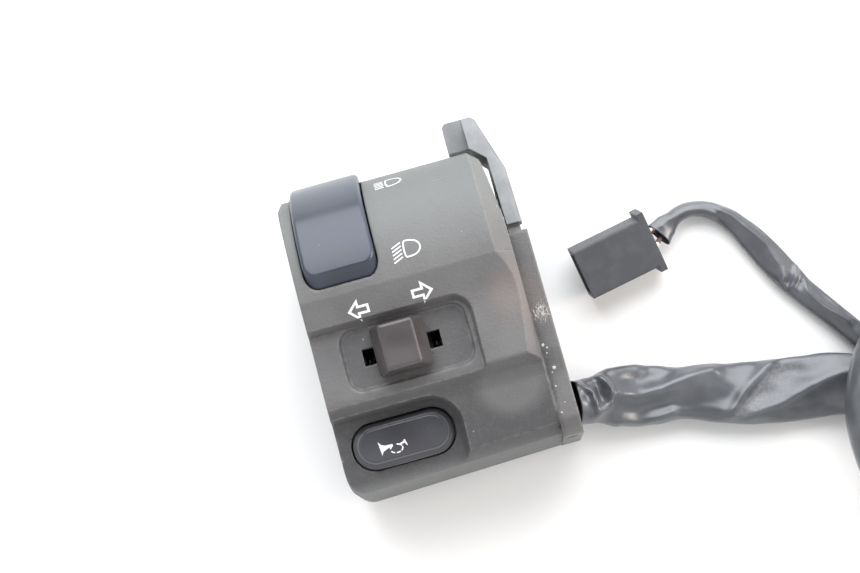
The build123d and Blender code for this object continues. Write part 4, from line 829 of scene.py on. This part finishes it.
# Where each dash begins and ends, in degrees.
dashes = [(20, 80), (120, 170), (200, 245), (262, 300), (312, 370)]
horn_tilt = math.radians(14.4)
horn_centre = Vector((-10.8, -39.9, 15.6))
above_button = 8.0


def loop_dash(begin, end):
    """Part of the oval loop, from one angle to another, as four-sided pieces."""
    steps = max(3, int((end - begin) / 15))
    turns = [math.radians(begin + (end - begin) * step / steps) for step in range(steps + 1)]
    outer, inner = ([loop_centre + Vector((math.cos(turn), math.sin(turn))) * size for turn in turns]
                    for size in (loop_size, loop_size - loop_stroke))
    return [[outer[i], outer[i + 1], inner[i + 1], inner[i]] for i in range(steps)]


def on_horn(u, v):
    """Place of a flat point over the tilted horn button."""
    normal = Vector((0, -math.sin(horn_tilt), math.cos(horn_tilt)))
    upward = Vector((0, math.cos(horn_tilt), math.sin(horn_tilt)))
    return (horn_centre + Vector((u, 0, 0)) + upward * v + normal * above_button) * mm, -normal


horn_shapes = [[Vector(point) for point in outline] for outline in (horn_bell, horn_mouth)]
for dash in dashes:
    horn_shapes += loop_dash(*dash)
press_film("horn_symbol", horn_shapes, on_horn, "horn", "horn_button")

# %% [markdown]
# ## The wiring's routes
# The harness leaves the collar, lies down on the table, and makes one loose
# loop. The clutch switch lead leaves it under tape and bends back. A cord could
# be a bevelled curve, but these are flat and folded, so the centre line comes
# first. Its control points are the ones that the CAD tubes follow, but for one
# that is moved a millimetre to bring the loop's edge where the photograph has
# it. Blender gives back the smooth curve's own points, without any thickness.

# %% Route of the harness and of the clutch switch lead
harness_points = [
    (34.0, -40.4, -10.5), (44.5, -41.0, -13.6), (55.0, -43.3, -16.6), (66.0, -45.3, -16.5),
    (78.0, -49.3, -16.3), (92.0, -51.8, -16.0), (105.5, -53.2, -15.7), (118.5, -61.0, -15.7),
    (128.4, -74.5, -15.7), (133.7, -95.5, -16.1), (149.9, -111.5, -16.5), (172.3, -117.6, -16.5),
    (195.0, -112.2, -16.5), (212.0, -96.4, -16.5), (218.4, -74.4, -16.5), (212.5, -52.4, -16.5),
    (195.8, -36.3, -16.5), (155.1, -26.9, -16.0), (132.5, -32.5, -9.5), (113.5, -47.5, -2.8),
    (104.2, -66.8, -2.8), (109.5, -91.5, -9.5), (120.6, -113.6, -16.0), (135.9, -130.2, -16.5),
    (156.8, -137.2, -16.5),
]
lead_points = [
    (69.0, -1.7, -17.0), (75.0, 3.2, -18.5), (82.2, 3.4, -19.2), (88.8, -1.0, -19.4), (93.4, -8.4, -19.4),
    (97.4, -16.6, -19.4), (101.6, -25.0, -19.4), (107.0, -32.7, -19.4), (112.6, -40.6, -19.4),
    (117.6, -49.6, -19.3), (122.1, -57.9, -18.6),
]


def nurbs_curve(name, places):
    """Smooth curve whose control points are places in metres."""
    curve = bpy.data.curves.new(name, "CURVE")
    curve.dimensions = "3D"
    curve.resolution_u = 24
    spline = curve.splines.new("NURBS")
    spline.points.add(len(places) - 1)
    for point, place in zip(spline.points, places):
        point.co = (*place, 1)
    spline.order_u = 3
    spline.use_endpoint_u = True
    return curve


def smooth_route(name, points):
    """Points, in metres, of a smooth curve through a cord's control points, in mm."""
    curve = nurbs_curve(name, [Vector(point) * mm for point in points])
    holder = bpy.data.objects.new(name, curve)
    bpy.context.collection.objects.link(holder)
    bpy.context.view_layer.update()
    mesh = bpy.data.meshes.new_from_object(holder)
    line = [vertex.co.copy() for vertex in mesh.vertices]
    bpy.data.meshes.remove(mesh)
    bpy.data.objects.remove(holder)
    bpy.data.curves.remove(curve)
    return line


print("route points", len(harness_points), "and", len(lead_points))

# %% [markdown]
# A sleeve, a tape and a bundle of wires all ask one thing of a centre line:
# where it is, and which way it runs, at a length along it. The curve's points
# are not evenly spaced, so the line keeps the length at each of them.

# %% A centre line that answers
class Route:
    """A centre line that knows its place and its directions at a length along it."""

    def __init__(self, line):
        self.line = line
        self.marks = [0.0]
        for here, there in zip(line, line[1:]):
            self.marks.append(self.marks[-1] + (there - here).length)
        self.length = self.marks[-1]

    def place(self, length):
        """Point at a length along the line, or the nearest end."""
        length = min(max(length, 0.0), self.length)
        low = min(max(bisect_right(self.marks, length) - 1, 0), len(self.marks) - 2)
        share = (length - self.marks[low]) / max(1e-9, self.marks[low + 1] - self.marks[low])
        return self.line[low].lerp(self.line[low + 1], share)

    def frame(self, length):
        """Level direction across the cord, and the one upwards."""
        step = 1.5 * mm
        along = (self.place(length + step) - self.place(length - step)).normalized()
        across = Vector((0, 0, 1)).cross(along).normalized()
        return across, along.cross(across)


harness_line = Route(smooth_route("harness_route", harness_points))
lead_line = Route(smooth_route("lead_route", lead_points))
print("harness", round(harness_line.length, 4), "m, lead", round(lead_line.length, 4), "m")

# %% [markdown]
# ## Soft sleeves
# Both sleeves are thin vinyl tubes with too few wires in them, so they lie
# flat, wide and folded. A round tube looks like a hose, and cloth simulation
# would put the folds where it likes. So each ring of the tube has its own
# width, height, twist and drop along the cord, and folds are pressed into its
# top: ridges that catch light, and dents beside them.

# %% Folds along a sleeve
def table(rows, length, column):
    """One column of a table whose first column is the length in mm, with smooth steps between."""
    place = length / mm
    for before, after in zip(rows, rows[1:]):
        if place <= after[0]:
            share = min(1.0, max(0.0, (place - before[0]) / (after[0] - before[0])))
            share = share * share * (3 - 2 * share)
            return before[column] + (after[column] - before[column]) * share
    return rows[-1][column]


def away_from(point, start, end):
    """Distance in mm from a flat point to a stroke."""
    line = end - start
    share = min(1.0, max(0.0, (point - start).dot(line) / line.length_squared))
    return (point - start - line * share).length


def fold_height(point, ridges, dents):
    """How far, in mm, folds lift or sink the top of the sleeve at a length and a place across."""
    height = 0.0
    for corners, rise, width in ridges:
        strokes = [Vector(corner) for corner in corners]
        nearest = min(away_from(point, start, end) for start, end in zip(strokes, strokes[1:]))
        height = max(height, rise * math.exp(-(nearest / width) ** 1.7))
    for centre, reach_along, reach_across, depth in dents:
        away = ((point.x - centre[0]) / reach_along) ** 2 + ((point.y - centre[1]) / reach_across) ** 2
        height -= depth * math.exp(-away)
    return height


print("a ridge's top stands", fold_height(Vector((5, 0)), [([(0, 0), (9, 0)], 1.5, 0.9)], []), "mm")

# %% [markdown]
# The rings become a mesh, with one ring every half millimetre, which a fold of
# one millimetre needs. A straight row of them would still look machined, so
# two slow noises bulge and crumple the skin. At both ends the skin turns in on
# itself, and the cut mouth shows the thickness of the vinyl.

# %% Build a sleeve
mouth_depth = 5.0 * mm
mouth_rings = 6
lie_gap = 0.05 * mm
# A little under 1, this makes the section fuller than an oval.
roundness = 0.9
# How much of a wrinkle shows in the width and in the height.
wrinkle_side, wrinkle_top = 0.05, 0.12


def ring_mesh(name, rings, gap):
    """Smooth tube through rings of points, none of it below the table's top."""
    sides = len(rings[0])
    verts = [(place.x, place.y, max(place.z, floor_z + gap)) for places in rings for place in places]
    faces = []
    for low in range(0, len(verts) - sides, sides):
        for step in range(sides):
            after = (step + 1) % sides
            faces.append((low + step, low + after, low + sides + after, low + sides + step))
    mesh = bpy.data.meshes.new(name)
    mesh.from_pydata(verts, [], faces)
    mesh.shade_smooth()
    print(name, "faces", len(mesh.polygons))
    return mesh


def crumpled(length, side, rise):
    """Bulges some 14 mm long, and crumples a third as long."""
    bulge = noise.noise(Vector((length / mm * 0.07, side * 1.3, rise * 1.3 + 7.0)))
    return bulge + 0.5 * noise.noise(Vector((length / mm * 0.22, side * 3.1, rise * 3.1 + 3.0)))


def sleeve_ring(route, length, shape, folds, wrinkle, skin, sides):
    """Points of one ring, drawn in by the skin's thickness where it is the inner side."""
    half, tall, twist, drop = (table(shape, length, column) for column in (1, 2, 3, 4))
    across, upward = route.frame(length)
    places = []
    for step in range(sides):
        angle = 2 * math.pi * step / sides
        side, rise = math.cos(angle), math.sin(angle)
        lift = wrinkle * crumpled(length, side, rise)
        x = half * side
        z = tall * math.copysign(abs(rise) ** roundness, rise)
        if rise > 0:
            z += min(1.0, 2.2 * rise) * fold_height(Vector((length / mm, side * half)), *folds)
        x *= (1 + wrinkle_side * lift) * (1 - skin / half)
        z *= (1 + wrinkle_top * lift) * (1 - skin / tall)
        lean = math.radians(twist)
        level = x * math.cos(lean) - z * math.sin(lean)
        height = x * math.sin(lean) + z * math.cos(lean) - drop
        places.append(route.place(length) + (across * level + upward * height) * mm)
    return places


def sleeve(name, node, route, shape, folds, wrinkle, skin, sides, step):
    """Flattened, folded sleeve along a route, with both ends turned in, in place of a CAD tube."""
    count = int(route.length / step)
    turned_in = [mouth_depth * k / mouth_rings for k in range(mouth_rings, 0, -1)]
    plan = [(length, skin) for length in turned_in]
    plan += [(route.length * k / count, 0.0) for k in range(count + 1)]
    plan += [(route.length - length, skin) for length in reversed(turned_in)]
    rings = [sleeve_ring(route, length, shape, folds, wrinkle, inward, sides) for length, inward in plan]
    piece = made_piece(name, ring_mesh(name, rings, lie_gap), sleeve_vinyl)
    stand_for(piece, "housing", node)
    return piece


# %% [markdown]
# The harness is pinched at the collar, widens at once, and lies flattest where
# the scuff is. Its folds could come from noise, but the photograph shows a few
# strong ones: a pinch by the collar, one long ridge, and a slanting ridge past
# the scuff. Each is a chain of strokes, in mm along and across the sleeve.

# %% The harness sleeve
harness_shape = [
    # length, half width, half height, twist in degrees, drop
    (0, 5.9, 5.4, 0, 0.0), (4.9, 6.2, 5.0, 0, 0.0), (11.3, 8.0, 4.3, 6, 0.4), (17.6, 8.4, 4.1, 6, 0.8),
    (22.2, 8.0, 4.2, 0, 0.9), (29.4, 7.1, 4.5, -6, 0.8), (40.1, 8.1, 4.2, -10, 1.1),
    (49.8, 8.7, 3.8, -8, 1.4), (56.9, 8.7, 3.8, -3, 1.4), (66, 8.5, 3.9, 4, 1.3), (76, 8.2, 4.1, 6, 1.1),
    (92, 7.2, 4.6, 6, 0.8), (130, 6.6, 4.9, 0, 0.5), (330, 6.4, 4.9, 0, 0.4), (350, 6.2, 5.0, 0, 0.2),
    (500, 6.2, 5.0, 0, 0.4),
]
harness_ridges = [
    # strokes, rise, width
    ([(0.5, 5.4), (4.0, 1.4), (4.6, -3.6)], 1.5, 0.9),
    ([(7.0, 6.4), (9.6, 2.0), (8.6, -1.6), (4.8, -4.4)], 1.8, 1.2),
    ([(9.6, 1.0), (17.0, 0.2), (24.0, 0.8), (31.0, 3.0), (38.0, 5.2)], 1.6, 2.2),
    ([(49.0, -6.6), (57.0, -3.8), (64.0, -0.2), (72.0, 2.8), (79.0, 4.6)], 1.7, 2.3),
    ([(43.0, -6.4), (46.0, -1.5), (50.0, 3.0), (54.5, 7.2)], 1.3, 1.6),
    ([(12.0, -6.8), (19.0, -7.4), (27.0, -5.6)], 0.9, 1.4),
]
harness_dents = [
    # place, reach along, reach across, depth
    ((6.7, 0.8), 1.7, 3.0, 2.2), ((2.4, 2.4), 1.3, 3.0, 1.0), ((18.0, 4.4), 7.0, 2.2, 1.3),
    ((25.0, -3.2), 13.0, 2.4, 1.2), ((59.5, 4.4), 5.0, 2.8, 1.5), ((41.0, -1.5), 4.0, 4.0, 0.9),
    ((68.0, -5.6), 9.0, 2.2, 1.2), ((52.0, -1.0), 4.0, 2.6, 0.8),
]
harness = sleeve("harness_skin", "harness_sleeve", harness_line, harness_shape,
                 (harness_ridges, harness_dents), wrinkle=0.55, skin=0.45, sides=80, step=0.5 * mm)

# %% [markdown]
# The lead's sleeve is smaller. Its cut mouth flares, it twists narrow behind
# the connector, and swells again before the kink in the photograph's corner.
# The same function makes it, from its own table and its own few folds.

# %% The lead's sleeve
lead_shape = [
    # length, half width, half height, twist in degrees, drop
    (0, 3.9, 1.9, 10, 0.0), (3, 3.4, 1.8, 16, 0.0), (7, 2.2, 2.3, 25, 0.0), (13, 2.1, 2.4, 25, 0.0),
    (19, 2.4, 2.4, 15, 0.2), (25, 2.9, 2.3, 5, 0.3), (32, 3.7, 2.2, 0, 0.3), (38, 4.0, 2.1, 0, 0.3),
    (45, 4.0, 2.1, -6, 0.3), (52, 3.5, 2.2, -4, 0.3), (63, 3.2, 2.3, 4, 0.3), (90, 2.8, 2.4, 0, 0.1),
]
lead_ridges = [
    ([(20.0, 1.0), (28.0, 0.8), (36.0, 1.2), (42.5, -0.6), (46.0, -3.0)], 0.7, 1.2),
    ([(45.4, 3.4), (47.4, 0.8), (48.6, -2.2)], 0.8, 0.7),
    ([(50.0, 1.8), (53.0, -0.4), (58.0, -0.6), (66.0, 1.2)], 0.7, 1.0),
    ([(2.0, 1.0), (8.0, 0.6), (14.0, 0.4), (20.0, -0.6)], 0.5, 0.8),
]
lead_dents = [((47.0, -1.6), 1.2, 1.5, 0.8), ((49.8, 1.0), 1.3, 1.8, 0.7), ((57.0, 1.8), 4.0, 1.0, 0.5)]
lead = sleeve("clutch_lead_skin", "clutch_lead", lead_line, lead_shape,
              (lead_ridges, lead_dents), wrinkle=0.6, skin=0.35, sides=56, step=0.4 * mm)

# %% [markdown]
# ## Tape, wires and the inner loom
# Black tape holds the lead to the harness: one strip, wound on in overlapping
# turns. A real strip could be wound as a helix, but only its steps show. So
# the tape is one tube whose radius grows along each turn and steps back.

# %% Tape
tape_reach = 7 * mm
turn_width = 4.5 * mm
tape_thickness = 0.30
tape_rows, tape_sides = 120, 64
# The share of a turn over which the tape climbs, before it steps back.
lap_peak = 0.92


def tape_ring(row):
    """Points of one ring of the tape, each standing off the sleeve."""
    length = tape_at - tape_reach + 2 * tape_reach * row / tape_rows
    half, tall, drop = (table(harness_shape, length, column) for column in (1, 2, 4))
    across, upward = harness_line.frame(length)
    places = []
    for step in range(tape_sides):
        angle = 2 * math.pi * step / tape_sides
        lap = ((length - tape_at + tape_reach) / turn_width + step / tape_sides) % 1.0
        climb = lap if lap < lap_peak else (1 - lap) * lap_peak / (1 - lap_peak)
        stand = tape_thickness * (1.2 + climb)
        stand *= min(1.0, 0.1 + 14 * min(row, tape_rows - row) / tape_rows)
        stand += 0.10 * noise.noise(Vector((length / mm * 0.9, math.cos(angle) * 2, math.sin(angle) * 2)))
        level = (half + stand) * math.cos(angle)
        height = (tall + stand) * math.sin(angle) - drop
        places.append(harness_line.place(length) + (across * level + upward * height) * mm)
    return places


tape_low, tape_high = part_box("joint_tape")
tape_middle = (tape_low + tape_high) / 2
lengths = [k * mm for k in range(60, 130)]
tape_at = min(lengths, key=lambda length: (harness_line.place(length) - tape_middle).length)
tape_rings = [tape_ring(row) for row in range(tape_rows + 1)]
tape = made_piece("joint_tape_wrap", ring_mesh("joint_tape_wrap", tape_rings, 0.02 * mm), tape_vinyl)
stand_for(tape, "housing", "joint_tape")
print("tape is", round(tape_at, 3), "m along the harness")

# %% [markdown]
# Eight wires run from the harness into its connector. Straight ones look like
# pins, so each is a smooth curve that bows a little between its two ends, and
# the ends are read from the CAD wire that it stands for.

# %% Wires
wire_bow = 0.5 * mm
main_radius = 0.78 * mm


def wire_curve(name, node, places, radius, finish):
    """Round wire through a few places, in place of a CAD node's wire."""
    curve = nurbs_curve(name, places)
    curve.resolution_u = 12
    curve.bevel_depth = radius
    curve.bevel_resolution = 4
    curve.use_fill_caps = True
    piece = made_piece(name, curve, finish)
    stand_for(piece, "housing", node)
    return piece


def solids_of(name):
    """Corner points of each separate solid of a CAD node."""
    cells = bmesh.new()
    cells.from_mesh(nodes[name].data)
    bmesh.ops.remove_doubles(cells, verts=cells.verts[:], dist=1e-6)
    seen = set()
    solids = []
    for first in cells.verts:
        stack = [] if first in seen else [first]
        seen.add(first)
        if stack:
            solids.append([])
        while stack:
            vertex = stack.pop()
            solids[-1].append(vertex.co.copy())
            near = [edge.other_vert(vertex) for edge in vertex.link_edges]
            stack += [other for other in near if other not in seen]
            seen.update(near)
    cells.free()
    return solids


def ends_of(solid, direction):
    """Middles of a straight wire's two ends, in order along a direction."""
    order = sorted(solid, key=lambda corner: corner.dot(direction))
    count = len(order) // 2
    return sum(order[:count], Vector()) / count, sum(order[-count:], Vector()) / count


plug_along = (harness_line.line[-1] - harness_line.place(harness_line.length - 3 * mm)).normalized()
for number, solid in enumerate(solids_of("main_wires")):
    low, high = ends_of(solid, plug_along)
    bow = Vector((0, 0, wire_bow)) * math.sin(number * 2.1)
    places = [low - plug_along * 6 * mm, low, low.lerp(high, 0.5) + bow, high, high + plug_along * 0.3 * mm]
    wire_curve(f"main_wire_{number}", "main_wires", places, main_radius, wire_vinyl)

# %% [markdown]
# Two dark red wires run from the clutch switch lead into its connector, each
# with a pale rubber seal where it enters. A seal could be a piece of its own,
# but hardly a millimetre of it shows, so it is a pale spot in the wire's finish.

# %% Clutch switch wires
clutch_radius = 0.72 * mm
lead_along = (lead_line.place(3 * mm) - lead_line.line[0]).normalized()
for number, solid in enumerate(solids_of("clutch_wires")):
    low, high = ends_of(solid, lead_along)
    wire_red = Finish(f"clutch_wire_{number}", 0.4, edge=0.05 * mm)
    seal = wire_red.spot(tuple(low + lead_along * 0.6 * mm), 1.5 * mm).ramp(0.30, 0.40)
    wire_red.set("Base Color", seal.tint((0.085, 0.030, 0.030, 1), (0.75, 0.72, 0.68, 1)))
    wire_red.plain()
    places = [low - lead_along * 0.3 * mm, low, low.lerp(high, 0.6)]
    places += [high + lead_along * 2 * mm, high + lead_along * 6 * mm]
    wire_curve(f"clutch_wire_{number}", "clutch_wires", places, clutch_radius, wire_red)

# %% [markdown]
# Inside the housing a loom of seven wires runs from the switches to the exit.
# It is out of sight in a closed housing, but its plain CAD tube would look
# wrong in a cut view. So six wires twist round a seventh along its route.

# %% Inner loom
loom_points = [(-1.3, -19.4, 11.1), (-1.3, -19.4, -9.4), (9.6, -40.4, -10.5), (30.4, -40.4, -10.5)]
loom_line = Route(smooth_route("loom_route", loom_points))
loom_steps = 24
loom_twist = 5.0
strand_off = 1.55 * mm
strand_radius = 0.74 * mm


def loom_frame(length):
    """Two directions across the loom; where it drops straight down, none is level."""
    down = (loom_line.place(length + 0.1 * mm) - loom_line.place(length)).normalized().z
    if abs(down) < 0.98:
        return loom_line.frame(length)
    return Vector((1, 0, 0)), Vector((0, 1, 0))


for strand in range(7):
    off = 0.0 if strand == 6 else strand_off
    places = []
    for step in range(loom_steps + 1):
        length = loom_line.length * step / loom_steps
        across, upward = loom_frame(length)
        angle = math.radians(60 * strand) + loom_twist * step / loom_steps
        places.append(loom_line.place(length) + (across * math.cos(angle) + upward * math.sin(angle)) * off)
    wire_curve(f"loom_wire_{strand}", "inner_loom", places, strand_radius, wire_vinyl)
print("loom is", round(loom_line.length, 4), "m long")

# %% [markdown]
# ## Spring copies
# A compression spring stands between a fixed seat and the part that presses
# it. A rigid body can't shorten, and each coil here is a copy of the CAD
# spring, with a mesh of its own, that moves with its body.

# %% Springs
def pressed_spring(node, body):
    """Copy of a CAD spring, with a mesh of its own, in the CAD spring's place on a body."""
    coil = made_piece(node + "_coil", nodes[node].data.copy(), spring_wire)
    stand_for(coil, body, node)
    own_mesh(coil)


pressed_spring("horn_spring", "housing")
pressed_spring("detent_spring", "rocker")
pressed_spring("cancel_spring", "carriage")
